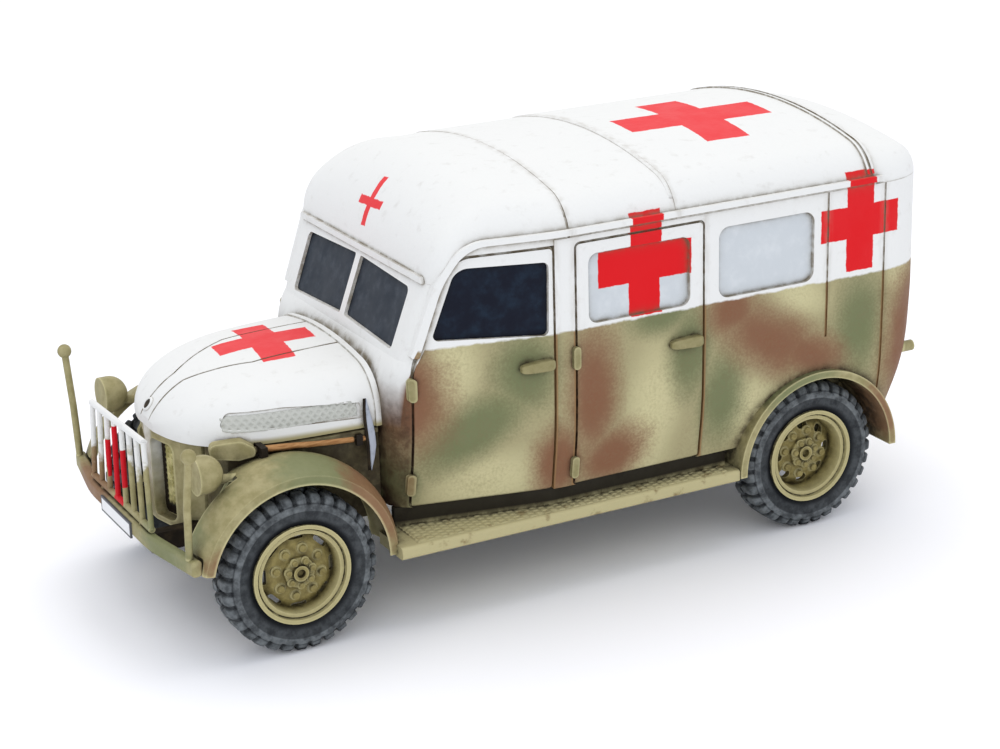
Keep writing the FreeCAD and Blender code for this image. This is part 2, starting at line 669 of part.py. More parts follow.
def guard_point(rail, share, reach=1.0):
    """Point along a guard rail, from -1 at the right end to 1 at the left."""
    right, left, half, x = rail
    return Vector(x, half * share * reach, right + (left - right) * (share + 1) / 2)


def grille_guard():
    """Upright bars between two rails, carried on two feet from the bumper."""
    count = int(size("guard_bars"))
    bar = 0.21
    pieces = [rod(guard_point(rail, -1, 1.02), guard_point(rail, 1, 1.02), bar * 1.2)
              for rail in (GUARD_TOP, GUARD_FOOT)]
    for i in range(count):
        share = i / (count - 1) * 2 - 1
        pieces.append(rod(guard_point(GUARD_TOP, share), guard_point(GUARD_FOOT, share), bar))
    for y in (-4.2, 4.2):
        pieces.append(rod(Vector(GUARD_FOOT[3], y, 9.4), Vector(GUARD_FOOT[3], y, 8.9), bar))
    guard = pieces[0].multiFuse(pieces[1:])
    feature("grille_guard", guard.cut(bumper_solid()))


def bumper_solid(room=0.0):
    """Front bumper: bowed in plan, its front rounded over and its ends swept back, with room behind it."""
    x, low = size("bumper_x"), size("bumper_z") - room
    back = x - 0.8 - room
    plan = ((x, -6.5, 16.0), (x, 6.5, 16.0), (x - 1.1, 13.0, 0.3), (back - 1.1, 12.9, 0.2), (back, 6.4, 16.0),
            (back, -6.4, 16.0), (back - 1.1, -12.9, 0.2), (x - 1.1, -13.0, 0.3))
    solid = prism(plan, "XY", low, low + size("bumper_height") + 2 * room)
    front = [edge for edge in solid.Edges if edge.BoundBox.ZLength < 0.01 and edge.BoundBox.XMax > x - 0.95
             and edge.BoundBox.XMin > x - 1.3]
    return solid.makeFillet(0.3, front)


def bumper():
    """Front bumper, its blank number plate and the width poles on its ends."""
    feature("front_bumper", bumper_solid())
    x = size("bumper_x")
    feature("number_plate", box(x, x + 0.15, -3.25, 3.25, 7.6, 8.85))
    foot, knee, top = Vector(x - 1.2, 12.1, 8.9), Vector(x - 1.15, 12.5, 13.0), Vector(x - 1.15, 13.6, 17.3)
    radius = size("pole_radius")
    pole = rod(foot, knee, radius).fuse(Part.makeSphere(radius, knee)).fuse(rod(knee, top, radius))
    pole = pole.fuse(Part.makeSphere(2 * radius, top)).cut(bumper_solid())
    for name, side in SIDES:
        feature(f"width_pole_{name}", on_side(pole, side))


def headlights():
    """Lamp bowls with a flat lens, each on a short stay from the mudguard."""
    x, y, z, radius = size("lamp_x"), size("lamp_y"), size("lamp_z"), size("lamp_radius")
    rim = Part.makeCylinder(radius, 0.7, Vector(x + 0.1, y, z), X_AXIS)
    bowl = Part.makeSphere(radius, Vector(x + 0.1, y, z))
    bowl = bowl.cut(box(x + 0.1, x + 3, y - 2, y + 2, z - 2, z + 2)).fuse(rim)
    stay = rod(Vector(x - 0.4, y, z - 0.5), Vector(x - 2.9, y - 0.2, z - 0.9), 0.35)
    lamp = largest(bowl.fuse(stay).cut(front_mudguard_solid()))
    for name, side in SIDES:
        feature(f"headlight_{name}", on_side(lamp, side))


# Section of the left front mudguard, as (distance across, distance outward of the arch radius).
GUARD_SECTION = {"lip": (13.3, 0.0), "edge": (13.3, 0.7), "crest": (11.4, 1.38), "root": (8.3, 0.95)}


def front_mudguard_solid():
    """Left front mudguard: a domed band turned about the wheel's axis."""
    x, z, inner, thick = (size(name) for name in ("front_axle_x", "tyre_radius", "arch_radius", "arch_thick"))
    lip, edge, crest, root = (Vector(x, y, z + inner + out) for y, out in GUARD_SECTION.values())
    drop, in_step = Vector(0, 0, -thick), Vector(0, -thick, 0)
    inside_edge = lip + in_step + Vector(0, 0, 0.2)
    band = Part.Face(Part.Wire([
        Part.LineSegment(lip, edge).toShape(), Part.Arc(edge, crest, root).toShape(),
        Part.LineSegment(root, root + drop).toShape(),
        Part.Arc(root + drop, crest + drop + in_step * 0.3, inside_edge).toShape(),
        Part.LineSegment(inside_edge, lip).toShape()]))
    band.rotate(Vector(x, 0, z), Y_AXIS, -90)
    return turned(band, Vector(x, 0, z), Y_AXIS, 168)


# Apron below the front mudguard's root, seen from the side, as (x, z, corner radius).
APRON = ((21.0, 13.6, 0.5), (26.6, 13.6, 0.5), (28.0, 11.5, 0.5), (27.8, 8.2, 0.5), (21.0, 8.2, 0.5))


def mudguards():
    """Front mudguards and the bands that line the rear wheel arches."""
    front = front_mudguard_solid()
    # The front end is cut away inside and rounded at its foot.
    foot = ((10.7, 30.0, 0), (10.7, 7.2, 1.3), (13.6, 7.2, 1.3), (13.6, 30.0, 0))
    front = front.cut(box(27.2, 35, 0, 20, 0, 20).cut(prism(foot, "YZ", 27, 36)))
    x, z, inner = size("rear_axle_x"), size("tyre_radius"), size("arch_radius")
    root_y = GUARD_SECTION["root"][0]
    apron = prism(APRON, "XZ", root_y, root_y + 0.4)
    apron = apron.cut(cylinder_y(size("axle_tube_radius") + 0.4, size("front_axle_x"), z, 0, 20))
    front = front.fuse(apron).cut(panel_block(0.0, 0, 40)).cut(ENVELOPE[0.0]).cut(bonnet_clearance())
    front = front.cut(bumper_solid(0.15))
    outer = inner + size("arch_thick")
    band = cylinder_y(outer, x, z, 8.6, size("flare_y")).cut(cylinder_y(inner, x, z, 9.2, 20))
    band = band.common(box(x - 20, x + 20, 0, 20, z, 40))
    band = band.cut(cylinder_y(size("axle_tube_radius") + 0.2, x, z, 0, 20))
    for name, side in SIDES:
        feature(f"front_mudguard_{name}", on_side(front, side))
        feature(f"rear_mudguard_{name}", on_side(band, side))


def bonnet_clearance():
    """Room that the bonnet takes above the mudguards."""
    return box(10, 35, -12, 12, size("bonnet_base_z"), 25)


# Outer face of the sill panel above the running board in plan, as (x, y).
SILL_PLAN = ((-13.5, 12.6), (2.4, 12.6), (14.6, 10.1))


def running_boards():
    """Step boards between the mudguards, each with the sill panel above it and brackets to the chassis."""
    low, high = size("board_z"), size("board_z") + size("board_thick")
    board = box(-13.9, 16.0, size("board_inner_y"), size("board_outer_y"), low, high)
    edges = [edge for edge in board.Edges if edge.BoundBox.YMin > 14 and edge.BoundBox.XLength > 1]
    board = board.makeFillet(0.25, edges)
    sill = [(x, y, 0.0) for x, y in SILL_PLAN] + [(x, y - 0.5, 0.0) for x, y in reversed(SILL_PLAN)]
    pieces = [prism(tuple(sill), "XY", low + 0.3, size("sill_z"))]
    rail_side = size("rail_y") + size("rail_width")
    for x in (-10.0, 11.0):
        pieces.append(box(x, x + 1.0, rail_side, size("board_inner_y"), low + 0.1, high + 0.4))
    board = board.multiFuse(pieces).cut(arch_well("front", 0)).cut(arch_well("rear", 0))
    board = board.cut(front_mudguard_solid())
    for name, side in SIDES:
        feature(f"running_board_{name}", on_side(board, side))


# ---------------------------------------------------------------- chassis

def chassis():
    """Two rails with cross-members, a flat skid plate slung under the gearbox, and the body's floor."""
    rail_y, width, low, high = size("rail_y"), size("rail_width"), size("rail_z"), size("sill_z")
    rail = box(-31.0, 32.2, rail_y, rail_y + width, low, high)
    pieces = [rail, mirrored(rail)]
    for x in (-30.0, -12.0, 2.0, 19.0, 26.0):
        pieces.append(box(x, x + 1.0, -rail_y, rail_y, low + 0.4, high))
    plate_low, outer_y = size("skid_plate_z"), rail_y + width
    plate_leg = box(3.0, 8.0, rail_y, outer_y, plate_low + 0.3, low)
    pieces += [box(3.0, 8.0, -outer_y, outer_y, plate_low, plate_low + 0.4), plate_leg, mirrored(plate_leg)]
    feature("chassis_frame", pieces[0].multiFuse(pieces[1:]).cut(bumper_solid()))
    floor = ENVELOPE[size("wall")].common(box(-40, 20, -20, 20, size("sill_z"), size("sill_z") + 0.8))
    well = arch_well("rear", 8.6)
    feature("floor", floor.cut(well).cut(mirrored(well)))


def axle(node, x):
    """Live axle: tube, differential housing, spring packs and the stubs that carry the wheels."""
    tube = doc.addObject("Part::Cylinder", f"{node}_tube")
    tube.setExpression("Radius", "Sizes.axle_tube_radius")
    tube.setExpression("Height", "2 * (Sizes.tyre_outer_y - Sizes.tyre_width - 0.5)")
    tube.setExpression("Placement.Base.z", "Sizes.tyre_radius")
    tube.setExpression("Placement.Base.x", f"Sizes.{node}_x")
    tube.setExpression("Placement.Base.y", "-(Sizes.tyre_outer_y - Sizes.tyre_width - 0.5)")
    tube.Placement.Rotation = FreeCAD.Rotation(X_AXIS, -90)
    stub = doc.addObject("Part::Cylinder", f"{node}_stub")
    stub.setExpression("Radius", "Sizes.stub_radius")
    stub.setExpression("Height", "2 * (Sizes.tyre_outer_y - 1.5)")
    stub.setExpression("Placement.Base.z", "Sizes.tyre_radius")
    stub.setExpression("Placement.Base.x", f"Sizes.{node}_x")
    stub.setExpression("Placement.Base.y", "-(Sizes.tyre_outer_y - 1.5)")
    stub.Placement.Rotation = FreeCAD.Rotation(X_AXIS, -90)
    housing = doc.addObject("Part::Sphere", f"{node}_housing")
    housing.Radius = 1.8
    housing.setExpression("Placement.Base.z", "Sizes.tyre_radius")
    housing.setExpression("Placement.Base.x", f"Sizes.{node}_x")
    springs = []
    for side in (1, -1):
        spring = doc.addObject("Part::Feature", f"{node}_spring")
        spring.Shape = leaf_spring(x, side)
        springs.append(spring)
    sub_part("Part::MultiFuse", node).Shapes = [tube, stub, housing] + springs


def pipe(points, radius):
    """Round pipe through a run of points, with a ball at each bend."""
    pieces = [rod(start, end, radius) for start, end in zip(points, points[1:])]
    pieces += [Part.makeSphere(radius, point) for point in points[1:-1]]
    return pieces[0].multiFuse(pieces[1:])


def drive_line():
    """Engine block, gearbox and the two propeller shafts that run to the axles."""
    outline = ((-2.2, 8.4, 0.5), (2.2, 8.4, 0.5), (2.2, 14.2, 0.8), (-2.2, 14.2, 0.8))
    block = prism(outline, "YZ", 18.0, 26.9)
    gearbox = rod(Vector(18.2, 0, 7.9), Vector(11.0, 0, 6.9), 0.85)
    front_shaft = rod(Vector(13.5, 0, 6.5), Vector(21.7, 0, 6.2), 0.25)
    rear_shaft = rod(Vector(11.5, 0, 6.9), Vector(-19.7, 0, 6.2), 0.3)
    feature("drive_line", block.multiFuse([gearbox, front_shaft, rear_shaft]))


def exhaust():
    """Exhaust on the vehicle's right: pipe from the engine, silencer hung from the rail, and tail pipe."""
    front = pipe([Vector(19.0, -2.4, 10.2), Vector(17.5, -5.8, 9.6), Vector(16.2, -6.6, 7.85),
                  Vector(6.0, -6.8, 7.85)], 0.32)
    silencer = rod(Vector(6.2, -6.8, 7.55), Vector(-1.2, -6.8, 7.55), 0.75)
    tail = rod(Vector(-1.0, -6.8, 7.85), Vector(-12.8, -7.0, 7.85), 0.32)
    hanger = box(2.0, 2.6, -6.4, -(size("rail_y") + size("rail_width")), 7.3, 7.6)
    feature("exhaust", front.multiFuse([silencer, tail, hanger]))


def rear_lamps():
    """Small drum lamp on each rear corner."""
    lamp = Part.makeCylinder(0.45, 1.5, Vector(-32.55, 11.6, 13.3), X_AXIS).cut(ENVELOPE[0.0])
    lamp = largest(lamp)
    feature("rear_lamps", Part.makeCompound([lamp, mirrored(lamp)]))


def leaf_spring(x, side):
    """Spring pack bowed under its rail, clamped to the axle and shackled to the rail at both ends."""
    y = side * (size("rail_y") + size("rail_width") / 2) - 0.4
    low, high, reach = size("tyre_radius") - 0.6, size("rail_z"), 6.0
    rear_eye, front_eye = Vector(x - reach, y, high), Vector(x + reach, y, high)
    rear_in, front_in = rear_eye + Vector(0.6, 0, 0), front_eye - Vector(0.6, 0, 0)
    upper, lower = Vector(x, y, low + 0.9), Vector(x, y, low)
    wire = Part.Wire([
        Part.LineSegment(rear_eye, rear_in).toShape(), Part.Arc(rear_in, upper, front_in).toShape(),
        Part.LineSegment(front_in, front_eye).toShape(), Part.Arc(front_eye, lower, rear_eye).toShape()])
    return Part.Face(wire).extrude(Vector(0, 0.8, 0))


# ---------------------------------------------------------------- wheels

# Half section of a tyre, as (radius, distance in from the outer face); words are driving sizes.
TYRE_SECTION = (
    ("bead_radius", 0.4), (3.95, 0.33), (4.25, 0.08), (4.95, 0.0), (5.02, -0.07), (5.22, -0.07), (5.3, 0.02),
    (5.75, 0.1), ("tyre_radius", 0.55), ("tyre_radius", 2.55), (5.75, 3.0), (5.3, 3.1), (4.25, 3.05),
    (3.95, 2.79), ("bead_radius", 2.72))
# Half section of a wheel: boss, dished disc, double lip, barrel and hub. The third column is 1 on the
# faces that move in with the dish.
WHEEL_SECTION = (
    (0, 0.6, 1), (0.3, 0.6, 1), (0.35, 0.3, 1), (0.6, 0.3, 1), (0.6, 0.55, 1), (1.15, 0.55, 1),
    (1.25, 0.8, 1), (2.3, 0.95, 1), (2.9, 1.25, 1), (3.05, 0.55, 0), (3.12, 0.3, 0), (3.4, 0.3, 0),
    (3.44, 0.42, 0), (3.5, 0.42, 0), (3.56, 0.05, 0), ("rim_radius", 0.05, 0), ("rim_radius", 0.3, 0),
    ("bead_radius", 0.38, 0),
    ("bead_radius", 2.74, 0), ("rim_radius", 2.85, 0), ("rim_radius", 3.0, 0), (3.3, 3.0, 0), (3.2, 2.3, 0),
    (2.9, 1.55, 1), (1.25, 1.35, 1), (1.25, 2.8, 0), ("bore_radius", 2.8, 0), ("bore_radius", 1.45, 0),
    (0, 1.45, 0))


def named(value):
    """Text of a number, or of a driving size given by its name."""
    return f"Sizes.{value}" if isinstance(value, str) else str(value)


def turned_body(node, end, side, corners):
    """Body with a half section turned about the wheel's axis, standing on its stub, outer face outward."""
    centre = Vector(size(f"{end}_axle_x"), side * size("tyre_outer_y"), size("tyre_radius"))
    body = sub_part("PartDesign::Body", node, centre, 0 if side == 1 else 180)
    section = outline_sketch(body, f"{node}_section", "XY_Plane", corners)
    whole = body.newObject("PartDesign::Revolution", f"{node}_whole")
    whole.Profile = section
    whole.ReferenceAxis = (section, ["V_Axis"])
    whole.Angle = 360
    doc.recompute()
    return body, whole


def tyre(node, end, side):
    """Tyre with a bead on the rim, a raised sidewall ring and rounded shoulders."""
    corners = [(named(radius), f"-({across})") for radius, across in TYRE_SECTION]
    body, whole = turned_body(node, end, side, corners)
    limit = size("tyre_radius") - 0.05
    shoulders = body.newObject("PartDesign::Fillet", f"{node}_shoulders")
    shoulders.Base = (whole, edges_where(whole.Shape, lambda p: math.hypot(p.x, p.z) > limit))
    shoulders.Radius = 0.25


def wheel(node, end, side):
    """Wheel with a dished disc, slots round the disc and a blind bore for the stub."""
    dish = f"Sizes.{end}_dish"
    corners = [(named(radius), f"-({across} + {moves} * {dish})") for radius, across, moves in WHEEL_SECTION]
    body, _ = turned_body(node, end, side, corners)
    outline = slot_sketch(body, f"{node}_slot_outline", "XZ_Plane", f"Sizes.{end}_slot_ring",
                          f"Sizes.{end}_slot_half", f"Sizes.{end}_slot_radius")
    slot = body.newObject("PartDesign::Pocket", f"{node}_slot")
    slot.Profile = outline
    slot.Type = 1
    slot.Midplane = True
    ring = body.newObject("PartDesign::PolarPattern", f"{node}_slots")
    ring.Originals = [slot]
    ring.Axis = (outline, ["N_Axis"])
    ring.Angle = 360
    ring.setExpression("Occurrences", "Sizes.disc_slots")
    body.Tip = ring


def wheels():
    """Four wheels, each a tyre on a rim, on the axle stubs."""
    for end in ("front", "rear"):
        for name, side in SIDES:
            tyre(f"tyre_{end}_{name}", end, side)
            wheel(f"wheel_{end}_{name}", end, side)


# ---------------------------------------------------------------- fittings

def handles_and_hinges():
    """Door handles and hinges, like pieces on one body in one node each."""
    handles, hinges = [], []
    skin = layer(-0.35, 0.0)
    for x, z in ((4.1, 18.85), (-8.9, 18.5)):
        tail = ((x - 1.35, z - 0.2, 0.18), (x - 1.35, z + 0.2, 0.18))
        grip = ((x + 1.35, z + 0.35, 0.3), (x + 1.35, z - 0.35, 0.3))
        handles.append(prism(tail + grip, "XZ", 5, 20).common(skin))
    for x, z in ((13.6, 18.2), (13.6, 10.4), (0.8, 19.0), (0.8, 10.0)):
        leaf = [(x + a * 0.3, z + b * 0.9, 0.28) for a, b in ((-1, -1), (1, -1), (1, 1), (-1, 1))]
        hinges.append(prism(leaf, "XZ", 5, 20).common(skin))
    feature("door_handles", Part.makeCompound(handles + [mirrored(piece) for piece in handles]))
    feature("door_hinges", Part.makeCompound(hinges + [mirrored(piece) for piece in hinges]))


def spade():
    """Spade clamped along the left side of the engine bay, its blade forward."""
    outline = ((25.0, 14.55, 0.3), (25.0, 15.15, 0.3), (26.0, 15.75, 0.6),
               (28.3, 15.6, 0.5), (28.4, 14.6, 0.5), (26.2, 14.3, 0.6))
    blade = prism(outline, "XZ", 8.3, 9.3)
    blade.rotate(Vector(25.0, 8.8, 15.0), Z_AXIS, -17)
    handle = rod(Vector(16.4, 9.3, 14.25), Vector(25.6, 8.75, 14.85), 0.27)
    clamps = [box(x - 0.25, x + 0.25, 7.2, 9.75, z - 0.42, z + 0.42)
              for x, z in ((17.0, 14.28), (24.6, 14.78))]
    whole = blade.multiFuse([handle] + clamps)
    for other in (front_mudguard_solid(), panel_block(0.85, 7.6, 15.0), bonnet_block(0.0)):
        whole = whole.cut(other)
    feature("spade", largest(whole))


body_walls()
roof_parts()
doors_and_windows()
drip_rails()
bonnet()
engine_bay()
radiator_mesh(radiator_shell())
grille_guard()
bumper()
headlights()
mudguards()
running_boards()
chassis()
for end_node in ("front_axle", "rear_axle"):
    axle(end_node, size(f"{end_node}_x"))
drive_line()
exhaust()
rear_lamps()
wheels()
handles_and_hinges()
spade()
doc.recompute()

for item in doc.Objects:
    if "Invalid" in item.State or "Error" in item.State:
        raise RuntimeError(f"{item.Label} did not compute: {item.State}")
os.makedirs("parts", exist_ok=True)
for part in SUB_PARTS:
    if part.Shape.isNull() or not part.Shape.isValid():
        raise RuntimeError(f"{part.Label} has no valid shape")
    part.Shape.exportStep(f"parts/{part.Label}.step")
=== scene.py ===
"""Looks of the scale model military ambulance truck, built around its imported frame."""

import math

import bpy
import numpy as np
from mathutils import Matrix, Vector


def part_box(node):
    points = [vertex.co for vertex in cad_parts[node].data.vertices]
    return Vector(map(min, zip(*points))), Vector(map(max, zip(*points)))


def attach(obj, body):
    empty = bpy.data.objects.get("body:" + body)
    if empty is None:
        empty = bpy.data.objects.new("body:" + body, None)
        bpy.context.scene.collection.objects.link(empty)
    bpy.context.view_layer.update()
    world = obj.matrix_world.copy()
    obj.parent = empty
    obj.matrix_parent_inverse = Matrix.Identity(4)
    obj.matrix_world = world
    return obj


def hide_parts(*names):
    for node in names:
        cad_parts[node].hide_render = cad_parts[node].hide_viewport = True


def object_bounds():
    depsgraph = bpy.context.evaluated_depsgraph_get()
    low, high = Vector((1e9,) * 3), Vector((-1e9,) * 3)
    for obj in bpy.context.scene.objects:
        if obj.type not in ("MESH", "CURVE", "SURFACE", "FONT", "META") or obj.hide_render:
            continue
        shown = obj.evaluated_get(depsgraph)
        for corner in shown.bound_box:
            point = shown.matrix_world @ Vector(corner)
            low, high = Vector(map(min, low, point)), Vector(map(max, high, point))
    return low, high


bl_info = {
    "name": "Scale model ambulance truck",
    "version": (1, 0, 0),
    "blender": (4, 5, 0),
    "location": "View3D > Sidebar > Ambulance",
    "description": "Paint, tyre treads and small fittings of a hand-painted scale model ambulance truck",
    "category": "Object",
}

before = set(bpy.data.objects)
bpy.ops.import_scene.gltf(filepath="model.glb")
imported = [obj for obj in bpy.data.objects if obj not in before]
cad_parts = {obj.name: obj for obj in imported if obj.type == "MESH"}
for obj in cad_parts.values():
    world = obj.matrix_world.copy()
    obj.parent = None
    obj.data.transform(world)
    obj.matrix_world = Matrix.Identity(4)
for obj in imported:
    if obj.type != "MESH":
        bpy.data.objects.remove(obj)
CAD_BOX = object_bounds()
MM = 0.001
CORNERS = (("front", "left"), ("front", "right"), ("rear", "left"), ("rear", "right"))
SIDES = (("left", 1), ("right", -1))
# Roughness of every noise, rays that feel for hollows and edges, and the number plate's border
NOISE_ROUGHNESS = 0.62
LIGHT_RAYS = 8
PLATE_BORDER = 0.16


def mm(*values):
    """Millimetres to metres: one number, or a tuple of them."""
    scaled = tuple(value * MM for value in values)
    return scaled[0] if len(scaled) == 1 else scaled


def box_mm(node):
    """Lowest and highest corners of a node of the frame, in millimetres."""
    return np.array(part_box(node)) / MM


def linear(hex_colour):
    """An sRGB colour such as "#c0a070" as linear red, green, blue and full alpha."""
    channels = [int(hex_colour[i:i + 2], 16) / 255 for i in (1, 3, 5)]
    return tuple(c / 12.92 if c <= 0.04045 else ((c + 0.055) / 1.055) ** 2.4 for c in channels) + (1.0,)


# ---------------------------------------------------------------- sizes and colours a user may change

def colour(name, description, hex_colour):
    """A colour property with its default from a hex value."""
    return bpy.props.FloatVectorProperty(name=name, description=description, default=linear(hex_colour),
                                         subtype="COLOR", size=4, min=0, max=1)


def length(name, description, millimetres):
    """A length property with its default in millimetres."""
    return bpy.props.FloatProperty(name=name, description=description, default=mm(millimetres), unit="LENGTH")


def count(name, description, number):
    """A whole-number property."""
    return bpy.props.IntProperty(name=name, description=description, default=number, min=3)


class PaintSettings(bpy.types.PropertyGroup):
    """Paint colours."""
    white: colour("White", "Brushed white of the roof, bonnet and window band", "#e0e0dd")
    grime: colour("Grime", "Thin grey-brown wash lying in the seams of the white", "#857a66")
    sand: colour("Sand", "Base colour of the sprayed camouflage", "#a29a74")
    pale_sand: colour("Pale sand", "Lighter sand sprayed over the base", "#c3bc91")
    green: colour("Green", "Sprayed green patches", "#6d7450")
    brown: colour("Brown", "Sprayed red-brown patches", "#7c543c")
    khaki: colour("Khaki", "Brushed khaki of wings, bumper and guard", "#a39a72")
    wheel: colour("Wheel", "Yellow khaki of the wheel discs", "#8f8350")
    # Dark brown laid in recesses, both the oil wash and painted shade, and also the chassis' base
    wash_and_shade: colour("Wash", "Dark brown oil wash in recesses", "#1b140b")
    cross: colour("Cross", "Red of the painted crosses", "#d4141b")
    # Paler red of the crosses that face up, a painted highlight for the light falling on them from above
    cross_lit_from_above: colour("Lit cross", "Painted-lit red of the crosses that face up", "#de3d41")
    pane_dark: colour("Dark pane", "Slate black of the cab's side windows", "#0d1220")
    pane_screen: colour("Windscreen", "Dark grey of the windscreen", "#2a313a")
    pane_pale: colour("Pale pane", "Pale grey of the rear windows", "#c3c8cb")
    tyre: colour("Tyre", "Near black of the tyres' recesses", "#14171b")
    tyre_dust: colour("Tyre dust", "Grey dry-brushed over the treads", "#7b8082")
    wood: colour("Wood", "Tan of the spade's handle", "#b98b5a")
    # Pale grey of the strip behind the bonnet: a painted highlight where light catches the edge there
    highlit: colour("Strip highlight", "Pale grey of the bare edge beside the bonnet", "#a9afba")


class SizeSettings(bpy.types.PropertyGroup):
    """Sizes of the pieces made here."""
    lugs: count("Lugs", "Tread blocks round one shoulder", 32)
    lug_depth: length("Lug depth", "Depth of the grooves between tread blocks", 0.36)
    nuts: count("Nuts", "Nuts round each wheel", 8)
    nut_radius: length("Nut radius", "Radius of a wheel nut over its corners", 0.29)
    mesh_pitch: length("Mesh pitch", "Distance between the raised wires of the louvre and radiator mesh", 0.3)
    rib_height: length("Roof rib height", "Height of the rounded ribs over the roof's joints", 0.14)


class StageSettings(bpy.types.PropertyGroup):
    """Camera and light."""
    azimuth: bpy.props.FloatProperty(name="Azimuth", description="Camera's bearing round the model",
                                     default=math.radians(152.315), subtype="ANGLE")
    elevation: bpy.props.FloatProperty(name="Elevation", description="Camera's height above the horizon",
                                       default=math.radians(19.321), subtype="ANGLE")
    roll: bpy.props.FloatProperty(name="Roll", description="Camera's lean", default=math.radians(-1.57),
                                  subtype="ANGLE")
    lens: bpy.props.FloatProperty(name="Lens", description="Focal length on a 36 mm sensor", default=85.0,
                                  unit="CAMERA")
    place: bpy.props.FloatVectorProperty(name="Place", description="Camera's position",
                                         default=mm(83.928, 160.012, 76.712), subtype="TRANSLATION")
    fill: bpy.props.FloatProperty(name="Fill", description="Strength of the even light from all round",
                                  default=1.02, min=0)


# ---------------------------------------------------------------- surfaces

def joined(name, grids, around, closed=False, capped=False, flip=False):
    """Mesh of one or more equal grids of points in millimetres. Each grid is rows by columns, and every
    four neighbouring points make a face. With around the last column closes onto the first, with closed
    the last row onto the first row, and capped puts one face over the last row and one over the first."""
    grids = np.asarray(grids, dtype=float)
    pieces, rows, columns = grids.shape[:3]
    index = np.arange(rows * columns).reshape(rows, columns)
    if around:
        index = np.concatenate([index, index[:, :1]], axis=1)
    if closed:
        index = np.concatenate([index, index[:1]], axis=0)
    quads = np.stack([index[:-1, :-1], index[:-1, 1:], index[1:, 1:], index[1:, :-1]], axis=-1).reshape(-1, 4)
    starts = (np.arange(pieces) * rows * columns)[:, None]
    faces = (quads[None] + starts[:, None]).reshape(-1, 4)
    faces = (faces[:, ::-1] if flip else faces).tolist()
    if capped:
        ring = np.arange(columns)
        last = starts + (rows - 1) * columns + ring
        first = starts + ring[::-1]
        caps = np.concatenate([last, first])
        faces += (caps[:, ::-1] if flip else caps).tolist()
    mesh = bpy.data.meshes.new(name)
    mesh.from_pydata((grids.reshape(-1, 3) * MM).tolist(), [], faces)
    mesh.polygons.foreach_set("use_smooth", np.ones(len(faces), dtype=bool))
    mesh.update()
    return mesh


def piece(name, grids, body, slot, finish_name, **shape):
    """Object for grids of points, riding on a body, with its finish. slot is not used. shape says how the
    grids are joined."""
    mesh = joined(name, grids, **shape)
    mesh.materials.append(finish(finish_name))
    made = bpy.data.objects.new(name, mesh)
    bpy.context.scene.collection.objects.link(made)
    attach(made, body)
    return made


def triangles_of(node):
    """Corners of a node's triangles in millimetres: triangle by corner by coordinate."""
    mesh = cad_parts[node].data
    mesh.calc_loop_triangles()
    corners = np.zeros(len(mesh.loop_triangles) * 3, dtype=np.int32)
    mesh.loop_triangles.foreach_get("vertices", corners)
    points = np.zeros(len(mesh.vertices) * 3)
    mesh.vertices.foreach_get("co", points)
    return points.reshape(-1, 3)[corners].reshape(-1, 3, 3) / MM


def laid_on(node, axis, first, second, outward):
    """Coordinate along an axis where a node's outermost surface lies under each (first, second) point, in
    millimetres. Each triangle of the node is seen along the axis; a point inside it, by its barycentric
    shares, takes the triangle's height there, and the highest such value in the outward sense is kept."""
    triangles = triangles_of(node)
    plane = [i for i in range(3) if i != axis]
    a, b, c = (triangles[:, i][:, plane] for i in range(3))
    heights = triangles[:, :, axis]
    span = (b[:, 0] - a[:, 0]) * (c[:, 1] - a[:, 1]) - (c[:, 0] - a[:, 0]) * (b[:, 1] - a[:, 1])
    kept = (np.abs(span) > 1e-9) & (heights.max(axis=1) * outward > 0)
    a, b, c, heights, span = a[kept], b[kept], c[kept], heights[kept], span[kept]
    u = np.asarray(first, dtype=float).reshape(-1, 1)
    v = np.asarray(second, dtype=float).reshape(-1, 1)
    share_b = ((u - a[:, 0]) * (c[:, 1] - a[:, 1]) - (c[:, 0] - a[:, 0]) * (v - a[:, 1])) / span
    share_c = ((b[:, 0] - a[:, 0]) * (v - a[:, 1]) - (u - a[:, 0]) * (b[:, 1] - a[:, 1])) / span
    inside = (share_b > -1e-6) & (share_c > -1e-6) & (share_b + share_c < 1 + 1e-6)
    rise_b, rise_c = heights[:, 1] - heights[:, 0], heights[:, 2] - heights[:, 0]
    height = heights[:, 0] + share_b * rise_b + share_c * rise_c
    best = np.where(inside, height * outward, -np.inf).max(axis=1)
    if not np.isfinite(best).all():
        raise RuntimeError(f"{node} has no surface under part of the piece")
    return (best * outward).reshape(np.shape(first))


def draped(node, axis, first, second, outward):
    """The same for a fine grid of points: every part of it is taken from a coarse grid of the surface, one
    point in six, by straight lines between its rows and columns."""
    rows, columns = (np.unique(np.linspace(0, n - 1, n // 6 + 2).astype(int)) for n in first.shape)
    coarse = laid_on(node, axis, first[np.ix_(rows, columns)], second[np.ix_(rows, columns)], outward)
    shares = []
    for kept, n in ((rows, first.shape[0]), (columns, first.shape[1])):
        shares.append(np.interp(np.arange(n), kept, np.arange(len(kept))))
    low = [np.minimum(share.astype(int), len(kept) - 2) for share, kept in zip(shares, (rows, columns))]
    part = [share - floor for share, floor in zip(shares, low)]
    upper = coarse[low[0]] * (1 - part[0][:, None]) + coarse[low[0] + 1] * part[0][:, None]
    return upper[:, low[1]] * (1 - part[1]) + upper[:, low[1] + 1] * part[1]


# ---------------------------------------------------------------- shader patterns

def add(tree, kind, inputs=None, output=0, **settings):
    """Adds a node with its settings and its inputs, each a value, a hex colour or another node's output,
    and gives one of its outputs."""
    made = tree.nodes.new("ShaderNode" + kind)
    for key, value in settings.items():
        setattr(made, key, value)
    for key, value in (inputs or {}).items():
        if isinstance(value, bpy.types.NodeSocket):
            tree.links.new(value, made.inputs[key])
        else:
            made.inputs[key].default_value = linear(value) if isinstance(value, str) else value
    return made.outputs[output] if made.outputs else made


